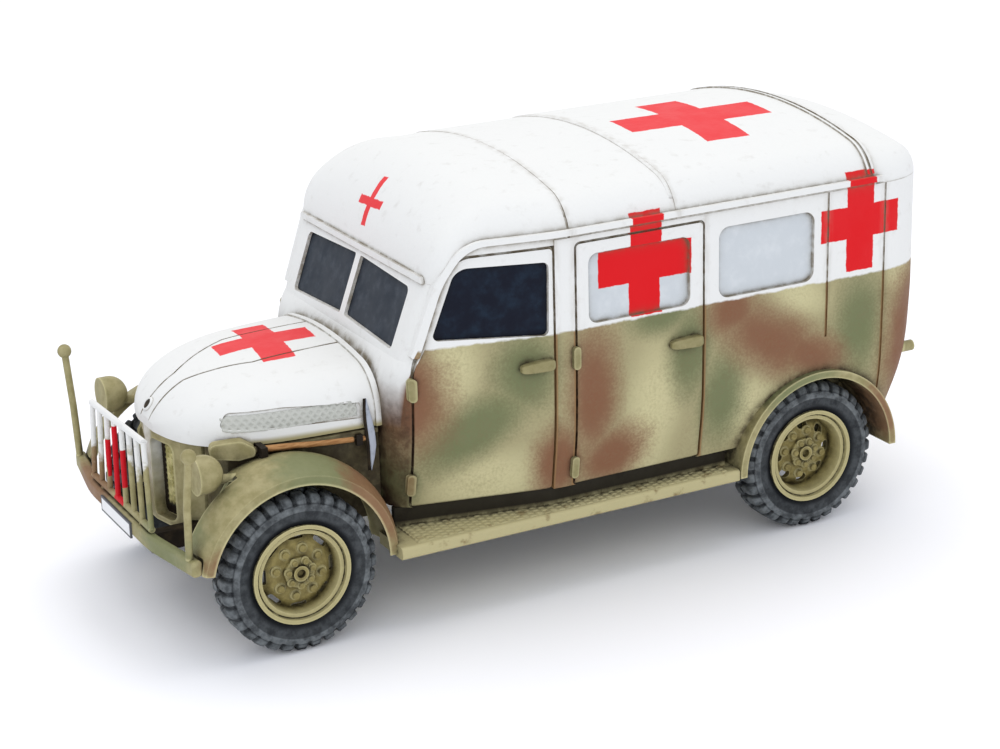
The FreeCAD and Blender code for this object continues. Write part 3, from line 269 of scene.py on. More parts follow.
def place_mm(tree):
    """Object coordinates in millimetres, so that every pattern's scale is a real length."""
    where = add(tree, "TexCoord", output="Object")
    return add(tree, "VectorMath", {0: where, "Scale": 1 / MM}, operation="SCALE")


def folded(tree, where):
    """A place's x, its distance from the middle plane and its z, which are the same on both sides."""
    x, y, z = add(tree, "SeparateXYZ", {0: where}).node.outputs
    return x, add(tree, "Math", {0: y}, operation="ABSOLUTE"), z


def overlap(tree, *shares):
    """Share that several shares have in common: all of them multiplied together."""
    common = shares[0]
    for share in shares[1:]:
        common = add(tree, "Math", {0: common, 1: share}, operation="MULTIPLY")
    return common


def patches(tree, where, size_mm, low, high, seed=0.0, detail=3.0):
    """Soft-edged random patches of a given size: 0 where the noise is below low and 1 above high."""
    moved = add(tree, "VectorMath", {0: where, 1: (seed, seed * 1.7, seed * 0.6)}, operation="ADD")
    field = add(tree, "TexNoise", {"Vector": moved, "Scale": 1 / size_mm, "Detail": detail,
                                   "Roughness": NOISE_ROUGHNESS})
    return add(tree, "MapRange", {"Value": field, "From Min": low, "From Max": high},
               interpolation_type="SMOOTHSTEP")


def hollows(tree, reach_mm, low, high, where, seed=30.0):
    """Share of dark laid in seams and corners, both the model's wash and painted shade: 1 where little light
    gets in within the reach, 0 in the open, broken up by patches so that it is uneven."""
    light = add(tree, "AmbientOcclusion", {"Distance": mm(reach_mm)}, output="AO", samples=LIGHT_RAYS)
    closed = add(tree, "MapRange", {"Value": light, "From Min": low, "From Max": high, "To Min": 1.0,
                                    "To Max": 0.0}, interpolation_type="SMOOTHSTEP")
    uneven = add(tree, "MapRange", {"Value": patches(tree, where, 0.8, 0.3, 0.62, seed), "To Min": 0.35})
    return overlap(tree, closed, uneven)


def rubbed_edges(tree, reach_mm):
    """Share of pale dry-brushed paint: 1 on outer edges and 0 on flats. Within the reach, rays sent inwards
    from an edge soon come out of the face beside it."""
    inner = add(tree, "AmbientOcclusion", {"Distance": mm(reach_mm)}, output="AO", samples=LIGHT_RAYS,
                inside=True)
    return add(tree, "MapRange", {"Value": inner, "From Min": 0.5, "From Max": 0.86, "To Min": 1.0,
                                  "To Max": 0.0}, interpolation_type="SMOOTHSTEP")


def coats(tree, under, *layers):
    """Coats of colour laid over one another. Each layer is its share, from 0 to 1, and its colour."""
    for share, tone in layers:
        under = add(tree, "Mix", {0: share, 6: under, 7: tone}, output=2, data_type="RGBA")
    return under


def within(tree, value, low, high, blur):
    """1 where a length in millimetres is between low and high, with edges blurred over a given width."""
    rising = add(tree, "MapRange", {"Value": value, "From Min": low - blur, "From Max": low + blur},
                 interpolation_type="SMOOTHSTEP")
    falling = add(tree, "MapRange", {"Value": value, "From Min": high - blur, "From Max": high + blur,
                                     "To Min": 1.0, "To Max": 0.0}, interpolation_type="SMOOTHSTEP")
    return overlap(tree, rising, falling)


# Each finish's name, with the function that draws its colour and how its coat lies
FINISHES = {}


def finish_named(name, rough, grain_mm=0.35, relief_mm=0.02, gloss=0.2):
    """Enters a function that draws a colour under a finish's name, with the coat's least and greatest
    roughness, the grain and relief of its brushing, and its gloss."""
    def enter(draw):
        FINISHES[name] = (draw, rough, grain_mm, relief_mm, gloss)
        return draw
    return enter


def paint_finish(name, draw, rough, grain_mm, relief_mm, gloss):
    """A flat painted material. draw gives the colour; roughness varies with the brush, and the relief is
    the grain of a thick hand-brushed coat."""
    material = bpy.data.materials.new(name)
    material.use_nodes = True
    tree = material.node_tree
    tree.nodes.clear()
    where = place_mm(tree)
    sheen = add(tree, "MapRange", {"Value": patches(tree, where, 2.5, 0.3, 0.7, 40.0), "To Min": rough[0],
                                   "To Max": rough[1]})
    grain = add(tree, "TexNoise", {"Vector": where, "Scale": 1 / grain_mm, "Detail": 4.0,
                                   "Roughness": NOISE_ROUGHNESS})
    bump = add(tree, "Bump", {"Height": grain, "Strength": 1.0, "Distance": mm(relief_mm)})
    shade = draw(tree, where, bpy.context.scene.ambulance_paint)
    shader = add(tree, "BsdfPrincipled", {"Base Color": shade, "Roughness": sheen, "Normal": bump,
                                          "Specular IOR Level": gloss})
    add(tree, "OutputMaterial", {"Surface": shader})
    return material


def finish(name):
    """The named finish, made the first time that it is asked for."""
    return bpy.data.materials.get(name) or paint_finish(name, *FINISHES[name])


# ---------------------------------------------------------------- paint patterns

# How a cross painted on a face turns from flat on its back, with its long arm along X, to face that way
FACING = {
    "up": Matrix.Identity(3),
    "side": Matrix.Rotation(math.radians(90), 3, "X"),
    "front": Matrix(((0, 0, 1), (1, 0, 0), (0, 1, 0))),
}

# Painted crosses. Columns: facing, middle, half-spans, half-widths of the bar along the first span and
# of the bar along the second, lean in degrees, depth that it is painted through
SIDE_CROSSES = (("side", (-5.45, 13.3, 25.35), (4.05, 4.05), (1.42, 1.38), 0, 2.4),
                ("side", (-25.3, 13.3, 25.6), (3.75, 4.05), (1.32, 1.3), 0, 2.4))
ROOF_CROSSES = (("up", (-16.95, 2.15, 31.5), (6.5, 5.75), (1.85, 1.95), -1.5, 3.0),
                ("front", (15.0, 0.1, 29.5), (1.84, 1.75), (0.3, 0.34), 2, 6.0))
BONNET_CROSS = ("up", (20.1, -0.6, 20.0), (3.8, 4.4), (1.3, 1.28), -6, 3.0)
GUARD_CROSS = ("front", (32.4, -0.35, 12.2), (2.25, 3.0), (1.5, 1.0), 4, 1.5)


def cross_share(tree, where, cross):
    """1 on a painted cross and 0 off it, with a slightly uneven brushed edge. In the cross's own frame
    each bar is a box, and the distance outside a box is the largest of the distances past its sides."""
    facing, middle, spans, widths, lean, depth = cross
    turn = (FACING[facing] @ Matrix.Rotation(math.radians(lean), 3, "Z")).to_euler()
    local = add(tree, "Mapping", {"Vector": where, "Location": middle, "Rotation": turn},
                vector_type="TEXTURE")
    local = add(tree, "VectorMath", {0: local}, operation="ABSOLUTE")
    gaps = []
    for half in ((spans[0], widths[0], depth), (widths[1], spans[1], depth)):
        past = add(tree, "VectorMath", {0: local, 1: half}, operation="SUBTRACT")
        x, y, z = add(tree, "SeparateXYZ", {0: past}).node.outputs
        flat = add(tree, "Math", {0: x, 1: y}, operation="MAXIMUM")
        gaps.append(add(tree, "Math", {0: flat, 1: z}, operation="MAXIMUM"))
    gap = add(tree, "Math", {0: gaps[0], 1: gaps[1]}, operation="MINIMUM")
    wander = add(tree, "MapRange", {"Value": patches(tree, where, 0.6, 0.2, 0.8, 17.0), "To Min": -0.045,
                                    "To Max": 0.045})
    gap = add(tree, "Math", {0: gap, 1: wander}, operation="ADD")
    return add(tree, "MapRange", {"Value": gap, "From Min": -0.03, "From Max": 0.03, "To Min": 1.0,
                                  "To Max": 0.0})


def with_side_crosses(tree, spot, shade, paint):
    """Lays the side crosses over a colour, on both sides of the model."""
    place = add(tree, "CombineXYZ", dict(enumerate(spot)))
    for cross in SIDE_CROSSES:
        shade = coats(tree, shade, (cross_share(tree, place, cross), paint.cross))
    return shade


# Sprayed patches on the left side. Columns: x, z, half-length, half-height, lean in degrees
PALE_PATCHES = ((10.6, 19.4, 3.2, 4.4, 0), (7.6, 9.6, 6.6, 3.6, 12), (-6.0, 13.2, 3.6, 9.0, -8),
                (-19.6, 20.4, 4.2, 2.6, -20), (-15.0, 11.6, 4.2, 4.0, 0), (-29.6, 20.6, 2.4, 2.2, 0),
                (-37.0, 18.0, 3.4, 4.0, 20), (-47.5, 11.0, 4.0, 4.4, 0))
GREEN_PATCHES = ((4.8, 18.4, 3.8, 4.6, 0), (9.0, 14.2, 7.6, 3.2, 30), (-9.4, 17.6, 3.0, 5.6, 0),
                 (-6.8, 21.0, 4.2, 2.4, 0), (-12.4, 13.2, 3.2, 5.6, 0), (-25.4, 17.0, 3.4, 6.4, 0),
                 (14.6, 10.4, 2.8, 3.4, 0), (-38.6, 11.4, 4.4, 4.2, -30), (-50.0, 18.4, 4.6, 4.0, 0))
BROWN_PATCHES = ((14.0, 17.6, 4.8, 7.0, 14), (2.0, 10.6, 3.4, 4.8, 0), (-0.8, 15.8, 3.4, 9.0, 0),
                 (-2.6, 10.4, 4.8, 3.6, 20), (-17.0, 17.2, 8.2, 4.0, -30), (-13.2, 20.4, 3.8, 3.4, 0),
                 (-20.8, 15.2, 5.6, 3.0, -22), (-30.8, 14.6, 4.4, 10.0, 0), (-44.4, 14.6, 3.8, 7.0, 24),
                 (-56.0, 17.0, 5.0, 7.4, 0))
# The patches' distance from the middle plane and how deep they go; the x behind which they run on round the
# back, and how far the back's y is moved to join them; the sum of x on the left and x on the right
PATCH_SIDE, PATCH_DEPTH = 12.0, 9.0
BACK_START, BACK_SHIFT = -31.0, -43.5
SIDES_SUM = -15.0


def ellipsoids(tree, where, rows):
    """The largest of several soft ellipsoids, 1 in the middle and falling to 0 at the edge. Each row is a
    middle, half-spans and a lean in degrees."""
    best = 0.0
    for middle, spans, lean in rows:
        local = add(tree, "Mapping", {"Vector": where, "Location": middle, "Scale": spans,
                                      "Rotation": (0, math.radians(lean), 0)}, vector_type="TEXTURE")
        patch = add(tree, "TexGradient", {"Vector": local}, output="Fac", gradient_type="SPHERICAL")
        best = add(tree, "Math", {0: best, 1: patch}, operation="MAXIMUM")
    return best


def sprayed(tree, where, rows, grain):
    """Share of one sprayed colour on the body: soft patches, broken by the spray's grain."""
    best = ellipsoids(tree, where, [((x, PATCH_SIDE, z), (half_x, PATCH_DEPTH, half_z), lean)
                                    for x, z, half_x, half_z, lean in rows])
    for noise in (patches(tree, where, 2.6, 0.2, 0.8, 9.0), grain):
        best = add(tree, "Math", {0: noise, 1: 0.16, 2: best}, operation="MULTIPLY_ADD")
    return add(tree, "MapRange", {"Value": best, "From Min": 0.1, "From Max": 0.9},
               interpolation_type="SMOOTHSTEP")


def camouflage(tree, where, paint):
    """Three-tone sprayed camouflage, soft patches of green and brown over sand. The spray's speckle is
    drawn at 0.2 mm because its real droplets would be too fine to show. The right side has the same
    patches the other way round, and across the back the patches' x runs on round the corner."""
    x, y, z = add(tree, "SeparateXYZ", {0: where}).node.outputs
    right = add(tree, "Math", {0: y, 1: 0.0}, operation="LESS_THAN")
    reversed_x = add(tree, "Math", {0: x, 1: -1.0, 2: SIDES_SUM}, operation="MULTIPLY_ADD")
    along = add(tree, "Mix", {0: right, 2: x, 3: reversed_x})
    behind = add(tree, "Math", {0: x, 1: BACK_START}, operation="LESS_THAN")
    round_back = add(tree, "Math", {0: y, 1: BACK_SHIFT}, operation="ADD")
    along = add(tree, "Mix", {0: behind, 2: along, 3: round_back})
    outward = add(tree, "Math", {0: y}, operation="ABSOLUTE")
    outward = add(tree, "Mix", {0: behind, 2: outward, 3: PATCH_SIDE})
    unrolled = add(tree, "CombineXYZ", {0: along, 1: outward, 2: z})
    grain = patches(tree, where, 0.2, 0.25, 0.75, 5.0)
    shade = paint.sand
    for rows, tone in ((PALE_PATCHES, paint.pale_sand), (GREEN_PATCHES, paint.green),
                       (BROWN_PATCHES, paint.brown)):
        shade = coats(tree, shade, (sprayed(tree, unrolled, rows, grain), tone))
    return coats(tree, shade, (overlap(tree, grain, 0.2), "#7a7054"))


def brushed_white(tree, where, paint):
    """Brushed white with faint scuffs of the grime that was wiped off."""
    scuff = overlap(tree, patches(tree, where, 1.1, 0.56, 0.78, 26.0, 5.0), 0.16)
    return coats(tree, paint.white, (scuff, paint.grime))


# Heights of the doors' lower ends, the gutter, and a plane above the whole roof
SEAM_FOOT, GUTTER, OVER_ROOF = 7.0, 28.6, 40.0
# Upright joints in the body's sides that belong to no door. Columns: x, heights of the ends
EXTRA_SEAMS = ((-22.2, 16.5, GUTTER), (-27.7, 9.5, GUTTER))


def seam_lines(nodes):
    """Where the ends of some nodes are along the model, in millimetres."""
    return [corner[0] for node in nodes for corner in box_mm(node)]


def side_seams():
    """The upright joints of both sides, each as its x and the heights of its ends, but for the front
    doors' front edges, which the scuttle's dirt hides."""
    ends = sorted(seam_lines(("front_door_left", "side_door_left")))
    return [*((x, SEAM_FOOT, GUTTER) for x in ends[:-1]), *EXTRA_SEAMS]


def seam_share(tree, spot, rows, half, blur):
    """The largest share of several upright bands. Each row is a band's x and the heights of its ends."""
    share = 0.0
    for x, low, high in rows:
        band = overlap(tree, within(tree, spot[0], x - half, x + half, blur),
                       within(tree, spot[2], low, high, 0.2))
        share = add(tree, "Math", {0: share, 1: band}, operation="MAXIMUM")
    return share


def seam_dirt(tree, where, spot):
    """Brown dirt wiped along the cross seams: a soft band 1.3 mm wide on each, broken into streaks. On the
    sides it lies along the doors' edges and the rear corner's joints, on the roof along its panels' ends."""
    rows = side_seams() + [(x, GUTTER, OVER_ROOF) for x in seam_lines(("roof_front", "roof_middle"))]
    streaks = add(tree, "VectorMath", {0: where, 1: (1.0, 1.0, 0.3)}, operation="MULTIPLY")
    return overlap(tree, seam_share(tree, spot, rows, 0.15, 0.5),
                   patches(tree, streaks, 0.6, 0.3, 0.68, 61.0))


def scuttle_dirt(tree, where, spot):
    """Brown dirt on the scuttle's sides in front of the doors, growing towards the running boards."""
    x, side, z = spot
    lower = add(tree, "MapRange", {"Value": z, "From Min": 15.4, "From Max": 19.8, "To Min": 0.78,
                                   "To Max": 0.0}, interpolation_type="SMOOTHSTEP")
    uneven = add(tree, "MapRange", {"Value": patches(tree, where, 0.7, 0.3, 0.7, 81.0), "To Min": 0.6})
    return overlap(tree, within(tree, x, 13.6, 15.6, 0.25), within(tree, side, 9.0, 20.0, 0.3), uneven,
                   lower)


# Middle of the waist line's edge, and how far the line drops on the scuttle
WAIST, SCUTTLE_DROP = 21.14, 4.3


def upper_share(tree, where, spot):
    """1 above the ragged hand-cut waist line. In front of the doors the line drops down the scuttle and
    fades softly, and everything below the windscreen between the scuttle's sides is above it."""
    x, side, z = spot
    drop = add(tree, "MapRange", {"Value": x, "From Min": 13.5, "From Max": 14.8,
                                  "To Max": SCUTTLE_DROP}, interpolation_type="SMOOTHSTEP")
    front = add(tree, "MapRange", {"Value": side, "From Min": 11.2, "From Max": 12.0,
                                   "To Min": SCUTTLE_DROP, "To Max": 0.0})
    front = overlap(tree, front, within(tree, x, 11.5, 40.0, 0.2))
    drop = add(tree, "Math", {0: drop, 1: front}, operation="MAXIMUM")
    wander = add(tree, "MapRange", {"Value": patches(tree, where, 1.3, 0.2, 0.8, 2.0), "To Min": -0.1,
                                    "To Max": 0.1})
    height = add(tree, "Math", {0: z, 1: drop}, operation="ADD")
    height = add(tree, "Math", {0: height, 1: wander}, operation="ADD")
    fading = add(tree, "MapRange", {"Value": x, "From Min": 13.6, "From Max": 14.4, "To Min": WAIST - 0.08,
                                    "To Max": WAIST - 1.74}, interpolation_type="SMOOTHSTEP")
    solid = add(tree, "Math", {0: fading, 1: -1.0, 2: 2 * WAIST}, operation="MULTIPLY_ADD")
    return add(tree, "MapRange", {"Value": height, "From Min": fading, "From Max": solid})


def body_colours(tree, where, paint, crosses=()):
    """White above the waist line and camouflage below, red crosses over both, then dirt along the seams and,
    in the recesses, dark that is both the model's wash and painted shade: thin grey-brown on the white, dark
    brown on the camouflage. Along the middle of the upright seams below the waist a paler brown is laid over
    it, a painted highlight that keeps the shade of the narrow grooves soft."""
    spot = folded(tree, where)
    upper = upper_share(tree, where, spot)
    shade = coats(tree, camouflage(tree, where, paint), (upper, brushed_white(tree, where, paint)))
    shade = with_side_crosses(tree, spot, shade, paint)
    for cross in crosses:
        # crosses that face up take the paler red, a painted highlight
        shade = coats(tree, shade, (cross_share(tree, where, cross), paint.cross_lit_from_above))
    # seam: colour laid in the recesses, both wash and painted shade
    seam = coats(tree, "#33241a", (upper, paint.grime))
    soft = coats(tree, "#4b3a24", (upper, "#9a9182"))
    below = add(tree, "MapRange", {"Value": upper, "To Min": 0.8, "To Max": 0.0})
    # core: paler brown down the upright seams, a painted highlight against the grooves' own shade
    core = overlap(tree, seam_share(tree, spot, side_seams(), 0.12, 0.05), below)
    return coats(tree, shade, (scuttle_dirt(tree, where, spot), "#3a2617"),
                 (overlap(tree, seam_dirt(tree, where, spot), 0.62), soft),
                 (hollows(tree, 1.5, 0.42, 0.95, where), seam), (core, "#8a6a45"))


# Sprayed patches that stray onto the khaki wings and bumper. Columns: middle, half-spans, lean
WING_GREEN = (((31.0, 8.5, 9.0), (5.0, 6.0, 5.0), 0), ((26.0, 9.5, 11.6), (5.0, 5.0, 3.2), 0),
              ((21.5, 12.5, 13.5), (5.5, 5.0, 4.6), 0), ((-19.0, 13.0, 13.4), (6.0, 5.0, 3.5), 0))
WING_BROWN = (((16.6, 12.5, 11.5), (5.4, 5.0, 7.0), 0), ((32.5, -6.0, 8.6), (4.0, 6.5, 5.0), 0),
              ((-28.5, 13.0, 10.0), (4.0, 5.0, 6.0), 0), ((29.3, 12.0, 8.0), (3.0, 4.0, 2.6), 0))


def strayed(tree, where, rows):
    """Share of sprayed colour on the wings: soft patches with a wandering edge."""
    drift = patches(tree, where, 1.2, 0.2, 0.8, 14.0)
    best = add(tree, "Math", {0: drift, 1: 0.25, 2: ellipsoids(tree, where, rows)},
               operation="MULTIPLY_ADD")
    return add(tree, "MapRange", {"Value": best, "From Min": 0.22, "From Max": 0.75},
               interpolation_type="SMOOTHSTEP")


def khaki_colours(tree, where, paint):
    """Brushed khaki, mottled, with dark brown in the recesses, both oil wash and painted shade between parts,
    and pale rubbed edges.
    """
    shade = coats(tree, paint.khaki, (patches(tree, where, 0.9, 0.25, 0.75, 3.0), "#8a8259"))
    for rows, tone in ((WING_GREEN, paint.green), (WING_BROWN, paint.brown)):
        shade = coats(tree, shade, (overlap(tree, strayed(tree, where, rows), 0.8), tone))
    return coats(tree, shade, (overlap(tree, rubbed_edges(tree, 0.25), 0.5), "#cfc798"),
                 # dark brown within 2.6 mm of other parts: oil wash and painted shade
                 (overlap(tree, hollows(tree, 2.6, 0.25, 0.88, where), 0.92), paint.wash_and_shade))


def from_axle(tree, where):
    """Distance from the axle of the nearest wheel, in millimetres. Folding the length about the middle of
    the wheelbase brings both axles to one place."""
    front, rear = wheel_middle("front", "left"), wheel_middle("rear", "left")
    x, _, z = add(tree, "SeparateXYZ", {0: where}).node.outputs
    along = add(tree, "Math", {0: x, 1: (front[0] + rear[0]) / 2}, operation="SUBTRACT")
    along = add(tree, "Math", {0: along}, operation="ABSOLUTE")
    along = add(tree, "Math", {0: along, 1: (front[0] - rear[0]) / 2}, operation="SUBTRACT")
    rise = add(tree, "Math", {0: z, 1: front[2]}, operation="SUBTRACT")
    flat = add(tree, "CombineXYZ", {0: along, 1: rise})
    return add(tree, "VectorMath", {0: flat}, output="Value", operation="LENGTH")


# ---------------------------------------------------------------- finishes

@finish_named("sprayed_camouflage_acrylic", (0.55, 0.75))
def body_paint(tree, where, paint):
    """Acrylic paint on cast resin, sprayed camouflage below the waist and brushed white above: a dead flat
    coat on which brown in the seams, both wash and painted shade, draws every panel."""
    return body_colours(tree, where, paint)


@finish_named("brushed_white_acrylic", (0.55, 0.75), 0.5, 0.03)
def roof_paint(tree, where, paint):
    """The same white acrylic on the roof, brushed thick enough to round every edge, with the roof's and
    the brow's crosses."""
    return body_colours(tree, where, paint, ROOF_CROSSES)


@finish_named("smooth_white_acrylic", (0.5, 0.7), 0.5, 0.015)
def bonnet_paint(tree, where, paint):
    """White acrylic on the bonnet, smooth from many thin coats, with its cross, grey in the lid's seam and
    the side louvres that is both wash and painted shade, and khaki along the lower edge behind the nose."""
    x, _, z = add(tree, "SeparateXYZ", {0: where}).node.outputs
    low = overlap(tree, within(tree, z, 10.0, 15.35, 0.25), within(tree, x, 0.0, 27.2, 0.8))
    return coats(tree, brushed_white(tree, where, paint),
                 # the bonnet's cross in the paler red, a painted highlight
                 (cross_share(tree, where, BONNET_CROSS), paint.cross_lit_from_above),
                 # grey in the recesses: wash and painted shade
                 (hollows(tree, 0.6, 0.35, 0.9, where), paint.grime), (low, paint.khaki))


@finish_named("fitting_acrylic", (0.5, 0.7), 0.3, 0.02)
def fitting_paint(tree, where, paint):
    """Handles and hinges: khaki rubbed pale on the edges below the waist, white above it."""
    return coats(tree, khaki_colours(tree, where, paint), (0.3, "#6f6a45"),
                 (upper_share(tree, where, folded(tree, where)), brushed_white(tree, where, paint)))


@finish_named("washed_and_shaded_wheel_acrylic", (0.45, 0.65), 0.5, 0.09)
def wheel_paint(tree, where, paint):
    """Yellow khaki on the wheels, dark round the nuts with wash and painted shade, and rubbed pale on the
    rim's lips.
    """
    lip = within(tree, from_axle(tree, where), 3.0, 4.5, 0.12)
    return coats(tree, paint.wheel, (patches(tree, where, 0.6, 0.25, 0.75, 3.0), "#6d6136"),
                 (overlap(tree, lip, 0.7), "#b9b083"),
                 (overlap(tree, rubbed_edges(tree, 0.2), 0.45), "#c9c08f"),
                 (hollows(tree, 0.9, 0.25, 0.9, where), paint.wash_and_shade))


@finish_named("washed_and_shaded_khaki_acrylic", (0.45, 0.65), 0.4, 0.03)
def khaki_paint(tree, where, paint):
    """Khaki acrylic brushed on and washed with dark oil: recesses nearly black from the wash and painted
    shade, edges rubbed pale.
    """
    return khaki_colours(tree, where, paint)


@finish_named("oily_and_shaded_khaki_acrylic", (0.45, 0.65), 0.4, 0.03)
def oily_and_shaded_paint(tree, where, paint):
    """Khaki on the panels between bonnet and wings, nearly hidden under dark brown that is both oil wash and
    the painted shade under the bonnet's edge and the wings.
    """
    # dark brown over most of the panel: oil wash and painted shade
    oil_and_shade = add(tree, "MapRange", {"Value": patches(tree, where, 1.6, 0.3, 0.7, 91.0), "To Min": 0.55,
                                 "To Max": 0.92})
    return coats(tree, khaki_colours(tree, where, paint), (oil_and_shade, "#33291a"))


@finish_named("worn_sand_acrylic", (0.5, 0.7), 0.3, 0.03)
def board_paint(tree, where, paint):
    """Pale sand acrylic on the running boards, worn through to brown where boots land, with near black
    painted up the sill above them as the shadow under the body, and dark in the recesses that is both wash
    and painted shade.
    """
    worn = overlap(tree, patches(tree, where, 1.3, 0.56, 0.7, 51.0, 5.0), 0.75)
    height = add(tree, "SeparateXYZ", {0: where}, output=2)
    # sill: near black above about 7 mm, the painted shadow under the body
    sill = add(tree, "MapRange", {"Value": height, "From Min": 6.98, "From Max": 7.3,
                                  "To Max": 0.97})
    return coats(tree, "#b3aa80", (worn, "#6f5a34"), (sill, "#130f08"),
                 (hollows(tree, 1.6, 0.3, 0.97, where), paint.wash_and_shade))


@finish_named("khaki_and_white_acrylic", (0.5, 0.7), 0.4, 0.03)
def shell_paint(tree, where, paint):
    """Khaki on the radiator shell with white brushed down its middle pillar."""
    _, side, z = folded(tree, where)
    fading = add(tree, "MapRange", {"Value": z, "From Min": 8.5, "From Max": 14.0},
                 interpolation_type="SMOOTHSTEP")
    brushed = add(tree, "MapRange", {"Value": patches(tree, where, 1.2, 0.3, 0.7, 71.0), "To Min": 0.55})
    white = overlap(tree, within(tree, side, -1.0, 0.75, 0.35), fading, brushed)
    # The last coat is wash and painted shade in the recesses
    return coats(tree, khaki_colours(tree, where, paint), (white, "#d9d9d2"),
                 (hollows(tree, 0.5, 0.3, 0.9, where, 44.0), paint.wash_and_shade))


@finish_named("guard_acrylic", (0.5, 0.7), 0.4, 0.03)
def guard_paint(tree, where, paint):
    """Khaki guard bars brushed white over their upper parts, with a red cross across the middle bars."""
    _, y, z = add(tree, "SeparateXYZ", {0: where}).node.outputs
    wander = add(tree, "MapRange", {"Value": patches(tree, where, 1.4, 0.2, 0.8, 6.0), "To Min": -1.6,
                                    "To Max": 1.6})
    lean = add(tree, "Math", {0: y, 1: -0.16, 2: z}, operation="MULTIPLY_ADD")
    height = add(tree, "Math", {0: lean, 1: wander}, operation="ADD")
    upper = add(tree, "MapRange", {"Value": height, "From Min": 12.2, "From Max": 13.6},
                interpolation_type="SMOOTHSTEP")
    # The last coat is wash and painted shade in the recesses between the bars
    return coats(tree, khaki_colours(tree, where, paint), (upper, brushed_white(tree, where, paint)),
                 (cross_share(tree, where, GUARD_CROSS), "#c20a1c"),
                 (hollows(tree, 0.4, 0.2, 0.7, where, 44.0), paint.wash_and_shade))


def dusty_pane(tree, where, tone, dust):
    """Opaque painted window, faintly streaked with dust."""
    return coats(tree, tone, (overlap(tree, patches(tree, where, 1.2, 0.4, 0.8, 8.0, 5.0), 0.4), dust))


def pane_rim(tree, where):
    """Share of the dark round a window's edge, both wash and painted shade."""
    return hollows(tree, 1.0, 0.45, 0.96, where)


# A pane's satin coat, which tells it from the flat body: roughness, grain, relief and gloss
PANE_COAT = ((0.35, 0.55), 0.8, 0.006, 0.12)


@finish_named("slate_pane_acrylic", *PANE_COAT)
def side_pane(tree, where, paint):
    """Slate-black acrylic of the cab's side windows, brushed with faint blue streaks."""
    shade = dusty_pane(tree, where, paint.pane_dark, "#263b4d")
    # near black round the frame: wash and painted shade
    return coats(tree, shade, (pane_rim(tree, where), "#0c0f16"))


@finish_named("dark_grey_pane_acrylic", *PANE_COAT)
def screen_pane(tree, where, paint):
    """Dark grey acrylic of the windscreen, under grey dust."""
    shade = dusty_pane(tree, where, paint.pane_screen, "#565d66")
    # near black round the frame: wash and painted shade
    return coats(tree, shade, (pane_rim(tree, where), "#14161a"))


@finish_named("pale_grey_pane_acrylic", *PANE_COAT)
def pale_pane(tree, where, paint):
    """Pale grey acrylic of the covered rear windows, with brown along the frame, both wash and painted shade.
    """
    shade = dusty_pane(tree, where, paint.pane_pale, "#dcdfe0")
    shade = with_side_crosses(tree, folded(tree, where), shade, paint)
    return coats(tree, shade, (pane_rim(tree, where), "#6e6552"))


@finish_named("white_plate_acrylic", (0.4, 0.55), 0.6, 0.005)
def plate_paint(tree, where, paint):
    """Blank white number plate with a thin grey border."""
    (_, y_low, z_low), (_, y_high, z_high) = box_mm("number_plate")
    _, y, z = add(tree, "SeparateXYZ", {0: where}).node.outputs
    middle = overlap(tree, within(tree, y, y_low + PLATE_BORDER, y_high - PLATE_BORDER, 0.04),
                     within(tree, z, z_low + PLATE_BORDER, z_high - PLATE_BORDER, 0.04))
    return coats(tree, "#55565a", (middle, "#e4e4e4"))


@finish_named("dry_brushed_tyre_black", (0.6, 0.8), 0.3, 0.03)
def tyre_rubber(tree, where, paint):
    """Near-black acrylic tyres, dry-brushed grey on the tread blocks and on the ring round the side, so
    that the grooves and the band beside the rim stay dark."""
    light = add(tree, "AmbientOcclusion", {"Distance": mm(0.45)}, output="AO", samples=LIGHT_RAYS)
    proud = add(tree, "MapRange", {"Value": light, "From Min": 0.6, "From Max": 0.98},
                interpolation_type="SMOOTHSTEP")
    radius = from_axle(tree, where)
    raised = within(tree, radius, 4.98, 5.5, 0.07)
    for band in (within(tree, radius, 5.55, 9.0, 0.12),
                 overlap(tree, within(tree, radius, 4.3, 9.0, 0.25), 0.34)):
        raised = add(tree, "Math", {0: raised, 1: band}, operation="MAXIMUM")
    dusty = add(tree, "MapRange", {"Value": patches(tree, where, 0.7, 0.3, 0.72, 6.0, 4.0), "To Min": 0.25})
    return coats(tree, paint.tyre, (overlap(tree, proud, dusty, raised, 0.78), paint.tyre_dust))


@finish_named("dusty_chassis_brown", (0.6, 0.8), 0.4, 0.03)
def chassis_paint(tree, where, paint):
    """Black-brown chassis paint under dust."""
    return coats(tree, paint.wash_and_shade, (patches(tree, where, 1.0, 0.4, 0.9, 2.0), "#3d3220"))


@finish_named("oiled_ash_wood", (0.5, 0.7), 0.3, 0.02)
def spade_finish(tree, where, paint):
    """Spade with a tan wooden handle, grained along its length, between a khaki blade and dark clamps."""
    along = add(tree, "SeparateXYZ", {0: where}, output=0)
    stretched = add(tree, "VectorMath", {0: where, 1: (0.12, 1.0, 1.0)}, operation="MULTIPLY")
    wood = coats(tree, paint.wood, (patches(tree, stretched, 0.12, 0.3, 0.7, 4.0), "#8f6238"))
    shade = coats(tree, khaki_colours(tree, where, paint), (within(tree, along, 15.0, 24.9, 0.1), wood))
    for clamp in (17.0, 24.6):
        shade = coats(tree, shade, (within(tree, along, clamp - 0.35, clamp + 0.35, 0.06), paint.wash_and_shade))
    # Wash and painted shade in the recesses
    return coats(tree, shade, (hollows(tree, 0.5, 0.3, 0.9, where), paint.wash_and_shade))


@finish_named("pale_grey_painted_highlight", (0.4, 0.5), 0.4, 0.01)
def painted_highlight_strip(tree, where, paint):
    """Pale grey of the strip behind the bonnet, a painted highlight where light catches the edge there, flat
    and cool beside the warm khaki.
    """
    return coats(tree, paint.highlit, (patches(tree, where, 0.8, 0.5, 0.8), "#8b919c"))


